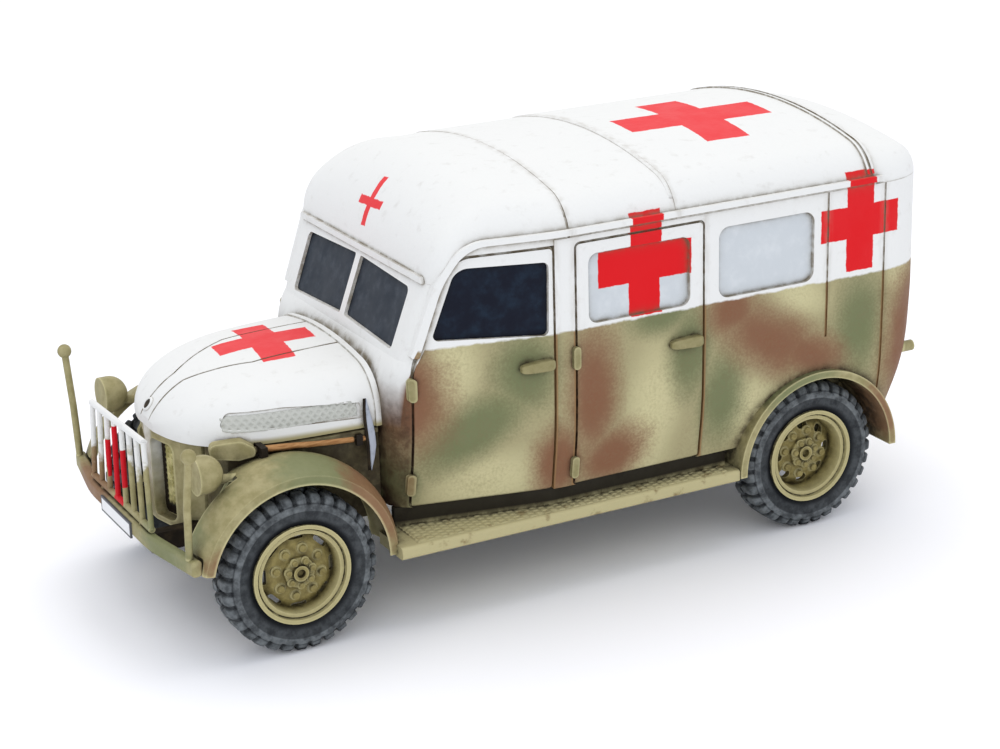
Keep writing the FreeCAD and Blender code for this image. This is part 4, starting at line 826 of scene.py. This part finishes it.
@finish_named("grey_washed_and_shaded_mesh", (0.55, 0.7), 0.3, 0.01)
def grey_mesh(tree, where, paint):
    """White louvre mesh, raised wires pale, with grey-brown between them that is both a heavy grey wash and
    painted shade.
    """
    return coats(tree, "#b9bab3", (hollows(tree, 0.22, 0.55, 0.97, where), "#6c6a5f"))


@finish_named("khaki_washed_and_shaded_mesh", (0.55, 0.7), 0.3, 0.02)
def khaki_mesh(tree, where, paint):
    """Radiator mesh, dry-brushed khaki on the wires in the open middle of each opening; round it, where the
    shell's frame hides the light, and in the recesses the mesh is near black, painted shade.
    """
    wires = coats(tree, "#a0985c", (patches(tree, where, 0.9, 0.3, 0.7, 12.0), "#d8d096"))
    _, side, z = folded(tree, where)
    # Only this open middle shows the wires; elsewhere the mesh stays near black as painted shade
    inside = overlap(tree, within(tree, side, 1.15, 2.75, 0.15), within(tree, z, 9.05, 13.7, 0.2))
    return coats(tree, "#1a1710", (inside, wires), (hollows(tree, 0.35, 0.5, 0.97, where), "#1a1710"))


# Each row is a finish and the first letters of its nodes' names; the first row that fits is taken
NODE_FINISHES = (
    ("dry_brushed_tyre_black", ("tyre",)),
    ("washed_and_shaded_wheel_acrylic", ("wheel",)),
    ("slate_pane_acrylic", ("front_door_window",)),
    ("dark_grey_pane_acrylic", ("windscreen",)),
    ("pale_grey_pane_acrylic", ("side_door_window", "side_window", "rear_door_window")),
    ("white_plate_acrylic", ("number_plate",)),
    ("guard_acrylic", ("grille_guard",)),
    ("khaki_and_white_acrylic", ("radiator_shell",)),
    ("washed_and_shaded_khaki_acrylic", ("front_bumper", "width_pole", "headlight", "front_mudguard", "rear_mudguard",
                              "rear_lamps")),
    ("worn_sand_acrylic", ("running_board",)),
    ("oiled_ash_wood", ("spade",)),
    ("oily_and_shaded_khaki_acrylic", ("bonnet_side",)),
    ("smooth_white_acrylic", ("bonnet",)),
    ("brushed_white_acrylic", ("roof", "drip_rails")),
    ("dusty_chassis_brown", ("radiator_mesh", "chassis_frame", "front_axle", "rear_axle", "floor",
                             "drive_line", "exhaust")),
    ("fitting_acrylic", ("door_h",)),
    ("sprayed_camouflage_acrylic", ("",)),
)


# ---------------------------------------------------------------- pieces

# Tyre section. Columns: radius, depth in from the wheel's outer face
TYRE_SECTION = np.array((
    (3.52, 0.42), (3.95, 0.33), (4.25, 0.08), (4.6, 0.02), (4.95, 0.0), (5.0, -0.07), (5.12, -0.09),
    (5.24, -0.07), (5.3, 0.02), (5.6, 0.03), (5.85, 0.14), (6.05, 0.32), (6.15, 0.6), (6.15, 1.05),
    (6.15, 1.55), (6.15, 2.05), (6.15, 2.5), (6.05, 2.78), (5.85, 2.96), (5.6, 3.07), (5.3, 3.1),
    (4.95, 3.1), (4.25, 3.05), (3.95, 2.79), (3.52, 2.70)))
# Distance of a wheel's outer face from the middle plane, the tread's radius, and the section's middle as a
# radius and a depth, all in millimetres
WHEEL_FACE = 13.15
TREAD_RADIUS = 6.15
MIDDLE_RADIUS, MIDDLE_DEPTH = 5.0, 1.55


def tyre_grid(middle, side, lugs, depth):
    """Tyre as a closed grid: a section turned about the axle. Over the tread and shoulders each point is
    drawn towards the section's middle by the groove depth, times how far the shoulder has begun, times a
    groove that is 1 on the cut and 0 on the block. The cut swings across the tread in a zigzag, so that the
    two shoulders' blocks are half a pitch apart."""
    steps = np.concatenate([[0], np.cumsum(np.hypot(*np.diff(TYRE_SECTION, axis=0).T))])
    along = np.linspace(0, steps[-1], 84)
    radius = np.interp(along, steps, TYRE_SECTION[:, 0])
    inward = np.interp(along, steps, TYRE_SECTION[:, 1])
    for _ in range(2):
        radius[1:-1] = radius[:-2] / 4 + radius[1:-1] / 2 + radius[2:] / 4
        inward[1:-1] = inward[:-2] / 4 + inward[1:-1] / 2 + inward[2:] / 4
    angle = np.linspace(0, 2 * np.pi, lugs * 14, endpoint=False)[None]
    radius, inward = radius[:, None], inward[:, None]
    across = np.clip((inward - MIDDLE_DEPTH) / 0.35, -1, 1)
    phase = (angle * lugs / (2 * np.pi) + 0.25 * across) % 1.0
    gap = np.abs(phase - 0.5) * 2 * np.pi * TREAD_RADIUS / lugs
    cut = np.clip((0.24 - gap) / 0.1, 0, 1)
    zigzag = 0.2 * np.sin(angle * lugs)
    rib = np.clip((0.17 - np.abs(inward - MIDDLE_DEPTH - zigzag)) / 0.08, 0, 1)
    begun = np.clip((radius - 5.42) / 0.16, 0, 1)
    flat = np.clip((radius - 6.0) / 0.08, 0, 1)
    sink = depth * begun * np.maximum(cut, rib * flat)
    to_middle = np.stack([MIDDLE_RADIUS - radius, MIDDLE_DEPTH - inward])
    to_middle = to_middle / np.linalg.norm(to_middle, axis=0)
    radius = radius + sink * to_middle[0]
    inward = inward + sink * to_middle[1] * 0.6
    return np.stack([middle[0] + radius * np.cos(angle), side * (WHEEL_FACE - inward) + 0 * angle,
                     middle[2] + radius * np.sin(angle)], axis=-1)


def wheel_middle(end, side_name):
    """Middle of a wheel in millimetres, from its tyre's box."""
    low, high = box_mm(f"tyre_{end}_{side_name}")
    return (low + high) / 2


def make_tyres(sizes):
    """Four treaded tyres in place of the frame's plain ones."""
    for end, side_name in CORNERS:
        side = dict(SIDES)[side_name]
        grid = tyre_grid(wheel_middle(end, side_name), side, sizes.lugs, sizes.lug_depth / MM)
        made = piece(f"treaded_tyre_{end}_{side_name}", [grid], f"wheel_set_{end}_{side_name}", "tyre_black",
                     "dry_brushed_tyre_black", around=True, closed=True, flip=side > 0)
        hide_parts(f"tyre_{end}_{side_name}")


# Points round a turned head
STUD_SIDES = 24


def studs(places, outward, profile):
    """Turned heads on a face: each is a section of radius and height turned about its own axis, with its
    foot sunk in the face."""
    angle = np.linspace(0, 2 * np.pi, STUD_SIDES, endpoint=False)
    profile = np.asarray(profile, dtype=float)
    outward = np.asarray(outward, dtype=float)
    first = np.cross(outward, (0, 0, 1.0)) if abs(outward[2]) < 0.9 else np.array((1.0, 0, 0))
    first = first / np.linalg.norm(first)
    second = np.cross(outward, first)
    ring = np.cos(angle)[:, None] * first + np.sin(angle)[:, None] * second
    one = profile[:, 0, None, None] * ring[None] + profile[:, 1, None, None] * outward
    return np.asarray(places, dtype=float)[:, None, None, :] + one[None]


def make_wheel_nuts(sizes):
    """Ring of nuts and inner ring of bolts on each wheel."""
    nut = sizes.nut_radius / MM
    for end, side_name in CORNERS:
        side = dict(SIDES)[side_name]
        middle = wheel_middle(end, side_name)
        outward = np.array((0.0, side, 0.0))
        rings = ((1.84, nut, 0.36, sizes.nuts), (0.98, nut * 0.8, 0.32, 7))
        grids = []
        for ring_radius, head, height, number in rings:
            angle = np.arange(number) * 2 * np.pi / number + 0.2
            x, z = middle[0] + ring_radius * np.cos(angle), middle[2] + ring_radius * np.sin(angle)
            y = laid_on(f"wheel_{end}_{side_name}", 1, x, z, side)
            places = np.stack([x, y, z], axis=-1)
            section = ((head * 1.45, -0.12), (head * 1.45, 0.04), (head * 1.3, 0.07), (head, 0.07),
                       (head, height * 0.8), (head * 0.85, height), (head * 0.4, height * 1.03))
            grids.append(studs(places, outward, section))
        piece(f"wheel_nuts_{end}_{side_name}", np.concatenate(grids), f"wheel_set_{end}_{side_name}",
              "wheel_khaki", "washed_and_shaded_wheel_acrylic", around=True, capped=True)


def woven(first, second, pitch):
    """Height of diamond mesh from 0 to 1: the larger of two rounded ridges that run along the diagonals."""
    one = np.abs(np.sin(np.pi * (first + second) / pitch / 2))
    two = np.abs(np.sin(np.pi * (first - second) / pitch / 2))
    return np.clip(np.maximum(one, two) - 0.45, 0, 1) / 0.55


# Corners of the louvre panel on the bonnet's side: x, lower z, upper z
LOUVRE_EDGES = ((16.75, 16.0, 16.95), (17.3, 15.98, 17.24), (22.5, 15.98, 17.3), (26.25, 16.02, 17.24),
                (26.95, 16.18, 17.05))


def make_louvres(sizes):
    """Diamond mesh in the recess on each side of the bonnet, a sheet of ridges that follows the bonnet."""
    pitch = sizes.mesh_pitch / MM
    stations = np.array(LOUVRE_EDGES)
    x = np.linspace(stations[0, 0], stations[-1, 0], 320)[None]
    share = np.linspace(0, 1, 44)[:, None]
    low, high = (np.interp(x, stations[:, 0], stations[:, column]) for column in (1, 2))
    z = low + (high - low) * share
    x = x + 0 * z
    border = (share > 0.03) & (share < 0.97) & (np.arange(320)[None] > 2) & (np.arange(320)[None] < 317)
    for side_name, side in SIDES:
        y = draped("bonnet", 1, x, z, side)
        lift = np.where(border, 0.02 + 0.07 * woven(x, z, pitch), -0.06)
        piece(f"louvre_mesh_{side_name}", [np.stack([x, y + side * lift, z], axis=-1)], "truck",
              "white_paint", "grey_washed_and_shaded_mesh", around=False, flip=side > 0)


def make_radiator_mesh(sizes):
    """Coarse cross mesh in the two radiator openings, a sheet of ridges that follows the swept-back core."""
    pitch = 1.4 * sizes.mesh_pitch / MM
    side_run = np.linspace(0.95, 2.9, 90)[None]
    z = np.linspace(8.75, 13.9, 220)[:, None] + 0 * side_run
    across = side_run + 0 * z
    border = np.ones(z.shape, dtype=bool)
    border[:2], border[-2:], border[:, :2], border[:, -2:] = False, False, False, False
    for side_name, side in SIDES:
        x = draped("radiator_mesh", 0, side * across, z, 1)
        ridges = np.maximum(np.abs(np.cos(np.pi * across / pitch)), np.abs(np.cos(np.pi * z / pitch)) * 0.9)
        lift = np.where(border, 0.03 + 0.16 * np.clip(ridges - 0.45, 0, 1), -0.08)
        piece(f"radiator_wires_{side_name}", [np.stack([x + lift, side * across, z], axis=-1)], "truck",
              "mesh_dark", "khaki_washed_and_shaded_mesh", around=False, flip=side < 0)


# Outer face of the sill panel over each running board. Columns: x, y
SILL_LINE = np.array(((-13.5, 12.6), (2.4, 12.6), (14.6, 10.1)))


def make_board_treads():
    """Pitted tread on each running board, from the sill panel to the outer edge: a sheet raised in rows of
    small rounded pads."""
    x = np.linspace(-13.0, 14.6, 560)[None]
    inner = np.interp(x, SILL_LINE[:, 0], SILL_LINE[:, 1]) + 0.12
    share = np.linspace(0, 1, 54)[:, None]
    y = inner + (13.95 - inner) * share
    x = x + 0 * y
    border = (share > 0.03) & (share < 0.97) & (np.abs(x - 0.8) < 13.7)
    offset = np.floor(x / 0.62) * np.pi / 2
    pads = np.abs(np.sin(np.pi * x / 0.62)) * np.abs(np.sin(np.pi * y / 0.55 + offset))
    lift = np.where(border, 0.02 + 0.09 * np.clip(pads * 1.5, 0, 1), -0.05)
    for side_name, side in SIDES:
        z = draped(f"running_board_{side_name}", 2, x, side * y, 1)
        grid = np.stack([x, side * y, z + lift], axis=-1)
        piece(f"board_tread_{side_name}", [grid], "truck", "khaki_paint", "worn_sand_acrylic", around=False,
              flip=side < 0)


# Middles of the door handles on the left side. Columns: x, z
HANDLE_PLACES = ((4.05, 18.85), (-8.9, 18.5))


def make_handles():
    """Chunky door handles in place of the frame's thin ones. Each is a bar with the rounded-box surface of
    a superellipsoid: along, outward and up are the half-sizes times powers below one of the cosines and
    sines of the two angles, and the bar's front end swells."""
    around = np.linspace(0, 2 * np.pi, 36, endpoint=False)[None]
    down = np.linspace(-np.pi / 2 + 0.05, np.pi / 2 - 0.05, 24)[:, None]
    power = 0.45

    def rounded(values):
        return np.sign(values) * np.abs(values) ** power
    for side_name, side in SIDES:
        grids = []
        for x, z in HANDLE_PLACES:
            door = f"{'front' if x > 0 else 'side'}_door_{side_name}"
            face = laid_on(door, 1, np.array([x]), np.array([z]), side)
            along = 1.42 * rounded(np.sin(down)) + 0 * around
            swell = 1.0 - 0.16 * np.clip(along, -1.42, 1.42) / 1.42
            outward = 0.42 * rounded(np.cos(down)) * rounded(np.cos(around)) * swell
            up = 0.42 * rounded(np.cos(down)) * rounded(np.sin(around)) * swell
            reach = face[0] * np.ones(along.shape) + side * (outward + 0.26)
            grids.append(np.stack([x + along, reach, z + up], axis=-1))
        made = piece(f"door_handle_bars_{side_name}", grids, "truck", "camouflage_paint", "fitting_acrylic",
                     around=True, capped=True, flip=side < 0)
        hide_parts("door_handles")


# Middle line of the pale strip of painted highlight behind the bonnet panel. Columns: x, z, half-width
STRIP_PATH = np.array(((16.3, 17.4, 0.02), (16.24, 16.6, 0.13), (16.1, 15.6, 0.24), (15.97, 14.6, 0.28),
                       (15.9, 13.6, 0.26), (15.98, 12.7, 0.18), (16.13, 11.7, 0.02)))


def make_light_and_shadow_strips():
    """Thin lens-shaped pale strip of painted highlight standing behind each bonnet panel, on a wider dark
    strip of painted shadow. The section of each is a flattened oval: half-width times the cosine across and
    0.08 mm times the sine outward."""
    along = np.linspace(0, 1, 40)
    stations = np.linspace(0, 1, len(STRIP_PATH))
    x, z, half = (np.interp(along, stations, STRIP_PATH[:, column])[:, None] for column in range(3))
    angle = np.linspace(0, 2 * np.pi, 20, endpoint=False)[None]
    # A pale strip of painted highlight over a dark strip of painted shadow, which takes the chassis finish
    layers = (("painted_highlight_strip", 9.66, 0.0, 0.0, "pale_grey_painted_highlight"),
              ("painted_shadow_strip", 9.58, 0.12, 0.1, "dusty_chassis_brown"))
    for side_name, side in SIDES:
        for name, reach, wider, forward, chosen in layers:
            outward = side * (reach + 0.08 * np.sin(angle) + 0 * x)
            grid = np.stack([x + forward + (half + wider) * np.cos(angle), outward, z + 0 * angle], axis=-1)
            piece(f"{name}_{side_name}", [grid], "truck", "khaki_paint", chosen, around=True, capped=True,
                  flip=side > 0)


def struck(nodes, middle, directions):
    """Distance in millimetres at which rays from one point leave some nodes. With a corner and edges p and
    q of a triangle, a ray d from o meets it at o + t d = corner + u p + v q, which is solved for t, u and v
    by triple products, and the largest t is kept."""
    triangles = np.concatenate([triangles_of(node) for node in nodes])
    near = (triangles[:, :, 0].min(axis=1) <= middle[0]) & (triangles[:, :, 0].max(axis=1) >= middle[0])
    first = triangles[near]
    p, q = first[:, 1] - first[:, 0], first[:, 2] - first[:, 0]
    from_corner = np.asarray(middle, dtype=float) - first[:, 0]
    normal = np.cross(p, q)
    across = directions @ normal.T
    across = np.where(np.abs(across) < 1e-9, np.inf, across)
    turned = np.cross(directions[:, None], from_corner[None])
    u = (turned * q[None]).sum(axis=2) / across
    v = -(turned * p[None]).sum(axis=2) / across
    t = -(from_corner * normal).sum(axis=1)[None] / across
    met = (u > -1e-5) & (v > -1e-5) & (u + v < 1 + 1e-5) & (t > 0)
    best = np.where(met, t, -np.inf).max(axis=1)
    if not np.isfinite(best).all():
        raise RuntimeError("a ray misses the roof")
    return best


# Rounded ribs over the roof's joints. Columns: x, half-width, share of the full height
ROOF_RIBS = ((1.15, 0.32, 0.8), (-8.2, 0.34, 1.0), (-26.8, 0.42, 1.0))
# Height inside the load body from which the rays to the roof start, in millimetres
INSIDE_HEIGHT = 24.0
ROOF_NODES = ("roof_cab", "roof_front", "roof_middle", "roof_rear")


def make_roof_ribs(sizes):
    """Low rounded ribs over the roof's joints, from gutter to gutter. At each angle about a point inside the
    load body the roof's own distance is found, and the rib's section is an oval about it: half-width times
    the cosine along and height times the sine outward, thinning to nothing at both ends."""
    angle = np.radians(np.linspace(24, 156, 90))
    directions = np.stack([0 * angle, np.cos(angle), np.sin(angle)], axis=-1)
    around = np.linspace(0, 2 * np.pi, 20, endpoint=False)[None]
    thinning = np.clip(np.minimum(np.arange(90), np.arange(90)[::-1]) / 6, 0.2, 1)[:, None]
    grids = []
    for x, half, share in ROOF_RIBS:
        far = struck(ROOF_NODES, (x, 0.0, INSIDE_HEIGHT), directions)[:, None]
        reach = far + sizes.rib_height / MM * share * thinning * np.sin(around)
        grids.append(np.stack([x + half * np.cos(around) + 0 * reach, reach * directions[:, 1:2],
                               INSIDE_HEIGHT + reach * directions[:, 2:]], axis=-1))
    piece("roof_ribs", grids, "truck", "white_paint", "brushed_white_acrylic", around=True, capped=True)


# Middle of the catch on the bonnet's nose, the direction it faces, and its two turned parts: name, sections
# of radius and height, slot and finish
CATCH_PLACE = (29.77, -0.45, 16.52)
CATCH_FACING = (0.783, -0.034, 0.621)
CATCH_PARTS = (("nose_catch_lip",
                ((0.6, -0.25), (0.58, -0.03), (0.5, 0.08), (0.42, 0.08), (0.38, 0.0), (0.05, 0.0)),
                "white_paint", "smooth_white_acrylic"),
               ("nose_catch_hole", ((0.4, -0.15), (0.39, 0.03), (0.2, 0.025), (0.05, 0.02)),
                "chassis_dark", "dusty_chassis_brown"))


def make_nose_catch():
    """Small catch on the bonnet's nose: a rounded lip round a dark hole, each turned about its axis."""
    for name, section, slot, chosen in CATCH_PARTS:
        piece(name, studs([CATCH_PLACE], CATCH_FACING, section), "truck", slot, chosen, around=True,
              capped=True)


def paint_frame():
    """Gives each node of the frame its finish."""
    for name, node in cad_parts.items():
        chosen = next(chosen for chosen, starts in NODE_FINISHES if name.startswith(starts))
        node.data.materials.clear()
        node.data.materials.append(finish(chosen))


# ---------------------------------------------------------------- stage

def look_from(settings):
    """Camera's rotation: back along azimuth and elevation, then rolled."""
    azimuth, elevation, roll = settings.azimuth, settings.elevation, settings.roll
    back = Vector((math.sin(azimuth) * math.cos(elevation), -math.cos(azimuth) * math.cos(elevation),
                   math.sin(elevation)))
    right = (-back).cross(Vector((0, 0, 1))).normalized()
    up = back.cross(right)
    rolled_right = right * math.cos(roll) + up * math.sin(roll)
    rolled_up = up * math.cos(roll) - right * math.sin(roll)
    return Matrix((rolled_right, rolled_up, back)).transposed()


def hang_lamp(name, place, power, size, tint):
    """A square soft lamp aimed at the model's middle."""
    middle = (CAD_BOX[0] + CAD_BOX[1]) / 2
    light = bpy.data.lights.new(name, "AREA")
    light.energy, light.size, light.color = power, size, linear(tint)[:3]
    holder = bpy.data.objects.new(name, light)
    bpy.context.scene.collection.objects.link(holder)
    holder.location = place
    holder.rotation_euler = (Vector(place) - middle).to_track_quat("Z", "Y").to_euler()


# Distance from the middle of the card to its edges, in metres
CARD_REACH = 4.0


def lay_card():
    """Wide white card under the model, matt so that it keeps a soft shadow."""
    material = bpy.data.materials.new("matt_white_card")
    material.use_nodes = True
    tree = material.node_tree
    tree.nodes.clear()
    shader = add(tree, "BsdfPrincipled", {"Base Color": "#fafafc", "Roughness": 0.9})
    add(tree, "OutputMaterial", {"Surface": shader})
    mesh = bpy.data.meshes.new("white_card")
    corners = [(x * CARD_REACH, y * CARD_REACH, 0) for x, y in ((-1, -1), (1, -1), (1, 1), (-1, 1))]
    mesh.from_pydata(corners, [], [(0, 1, 2, 3)])
    mesh.materials.append(material)
    card = bpy.data.objects.new("white_card", mesh)
    bpy.context.scene.collection.objects.link(card)


def surround(settings):
    """Even white light from all round, with a plain white backdrop for the camera and reflections."""
    world = bpy.data.worlds.new("white_surroundings")
    world.use_nodes = True
    bpy.context.scene.world = world
    tree = world.node_tree
    tree.nodes.clear()
    path = add(tree, "LightPath").node.outputs
    seen = add(tree, "Math", {0: path["Is Camera Ray"], 1: path["Is Glossy Ray"]}, operation="MAXIMUM")
    seen = add(tree, "Math", {0: seen, 1: path["Is Transmission Ray"]}, operation="MAXIMUM")
    fill = add(tree, "Background", {"Color": "#eef2fa", "Strength": settings.fill})
    backdrop = add(tree, "Background", {"Color": (1, 1, 1, 1), "Strength": 1.0})
    both = add(tree, "MixShader", {0: seen, 1: fill, 2: backdrop})
    add(tree, "OutputWorld", {"Surface": both})


def set_stage(settings):
    """Card, surroundings, soft lamps and the camera."""
    scene = bpy.context.scene
    scene.view_settings.view_transform = "Standard"
    lay_card()
    surround(settings)
    hang_lamp("key_lamp", (-0.07, -0.10, 0.46), 0.9, 0.46, "#fff8ee")
    hang_lamp("side_lamp", (0.20, 0.45, 0.25), 0.5, 0.40, "#ffffff")
    lens = bpy.data.cameras.new("camera")
    lens.lens, lens.sensor_width = settings.lens, 36.0
    lens.clip_start, lens.clip_end = 0.005, 50.0
    camera = bpy.data.objects.new("camera", lens)
    scene.collection.objects.link(camera)
    camera.matrix_world = Matrix.Translation(settings.place) @ look_from(settings).to_4x4()
    scene.camera = camera


# ---------------------------------------------------------------- operators and panel

class AMBULANCE_OT_stage(bpy.types.Operator):
    """Adds the card, surroundings, lamps and camera."""
    bl_idname = "ambulance.stage"
    bl_label = "Stage"

    def execute(self, context):
        set_stage(context.scene.ambulance_stage)
        return {"FINISHED"}


class AMBULANCE_OT_paint(bpy.types.Operator):
    """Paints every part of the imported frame."""
    bl_idname = "ambulance.paint"
    bl_label = "Paint frame"

    def execute(self, context):
        paint_frame()
        return {"FINISHED"}


class AMBULANCE_OT_tyres(bpy.types.Operator):
    """Makes the four treaded tyres."""
    bl_idname = "ambulance.tyres"
    bl_label = "Tyres"

    def execute(self, context):
        make_tyres(context.scene.ambulance_sizes)
        return {"FINISHED"}


class AMBULANCE_OT_wheel_nuts(bpy.types.Operator):
    """Makes the nuts and bolts of the four wheels."""
    bl_idname = "ambulance.wheel_nuts"
    bl_label = "Wheel nuts"

    def execute(self, context):
        make_wheel_nuts(context.scene.ambulance_sizes)
        return {"FINISHED"}


class AMBULANCE_OT_louvres(bpy.types.Operator):
    """Makes the mesh panels on the bonnet's sides."""
    bl_idname = "ambulance.louvres"
    bl_label = "Louvre mesh"

    def execute(self, context):
        make_louvres(context.scene.ambulance_sizes)
        return {"FINISHED"}


class AMBULANCE_OT_radiator_wires(bpy.types.Operator):
    """Makes the wire mesh in the radiator's two openings."""
    bl_idname = "ambulance.radiator_wires"
    bl_label = "Radiator mesh"

    def execute(self, context):
        make_radiator_mesh(context.scene.ambulance_sizes)
        return {"FINISHED"}


class AMBULANCE_OT_board_treads(bpy.types.Operator):
    """Makes the pitted treads on the running boards."""
    bl_idname = "ambulance.board_treads"
    bl_label = "Board treads"

    def execute(self, context):
        make_board_treads()
        return {"FINISHED"}


class AMBULANCE_OT_handles(bpy.types.Operator):
    """Makes the four door handles."""
    bl_idname = "ambulance.handles"
    bl_label = "Door handles"

    def execute(self, context):
        make_handles()
        return {"FINISHED"}


class AMBULANCE_OT_light_and_shadow_strips(bpy.types.Operator):
    """Makes the strips of painted highlight and painted shadow behind the bonnet panels."""
    bl_idname = "ambulance.bare_strips"
    bl_label = "Light and shadow strips"

    def execute(self, context):
        make_light_and_shadow_strips()
        return {"FINISHED"}


class AMBULANCE_OT_nose_catch(bpy.types.Operator):
    """Makes the catch on the bonnet's nose."""
    bl_idname = "ambulance.nose_catch"
    bl_label = "Nose catch"

    def execute(self, context):
        make_nose_catch()
        return {"FINISHED"}


class AMBULANCE_OT_roof_ribs(bpy.types.Operator):
    """Makes the rounded ribs over the roof's joints."""
    bl_idname = "ambulance.roof_ribs"
    bl_label = "Roof ribs"

    def execute(self, context):
        make_roof_ribs(context.scene.ambulance_sizes)
        return {"FINISHED"}


OPERATORS = (AMBULANCE_OT_stage, AMBULANCE_OT_paint, AMBULANCE_OT_tyres, AMBULANCE_OT_wheel_nuts,
             AMBULANCE_OT_louvres, AMBULANCE_OT_radiator_wires, AMBULANCE_OT_board_treads,
             AMBULANCE_OT_handles, AMBULANCE_OT_light_and_shadow_strips, AMBULANCE_OT_nose_catch, AMBULANCE_OT_roof_ribs)


class AMBULANCE_PT_build(bpy.types.Panel):
    """Lists the steps that dress the ambulance."""
    bl_label = "Ambulance"
    bl_space_type = "VIEW_3D"
    bl_region_type = "UI"
    bl_category = "Ambulance"

    def draw(self, context):
        for step in OPERATORS:
            self.layout.operator(step.bl_idname)


CLASSES = (PaintSettings, SizeSettings, StageSettings, *OPERATORS, AMBULANCE_PT_build)


def register():
    for item in CLASSES:
        bpy.utils.register_class(item)
    bpy.types.Scene.ambulance_paint = bpy.props.PointerProperty(type=PaintSettings)
    bpy.types.Scene.ambulance_sizes = bpy.props.PointerProperty(type=SizeSettings)
    bpy.types.Scene.ambulance_stage = bpy.props.PointerProperty(type=StageSettings)


def unregister():
    for key in ("ambulance_paint", "ambulance_sizes", "ambulance_stage"):
        delattr(bpy.types.Scene, key)
    for item in reversed(CLASSES):
        bpy.utils.unregister_class(item)


def main():
    register()
    bpy.ops.ambulance.stage()
    bpy.ops.ambulance.paint()
    bpy.ops.ambulance.tyres()
    bpy.ops.ambulance.wheel_nuts()
    bpy.ops.ambulance.louvres()
    bpy.ops.ambulance.radiator_wires()
    bpy.ops.ambulance.board_treads()
    bpy.ops.ambulance.handles()
    bpy.ops.ambulance.bare_strips()
    bpy.ops.ambulance.nose_catch()
    bpy.ops.ambulance.roof_ribs()


if __name__ == "__main__":
    main()
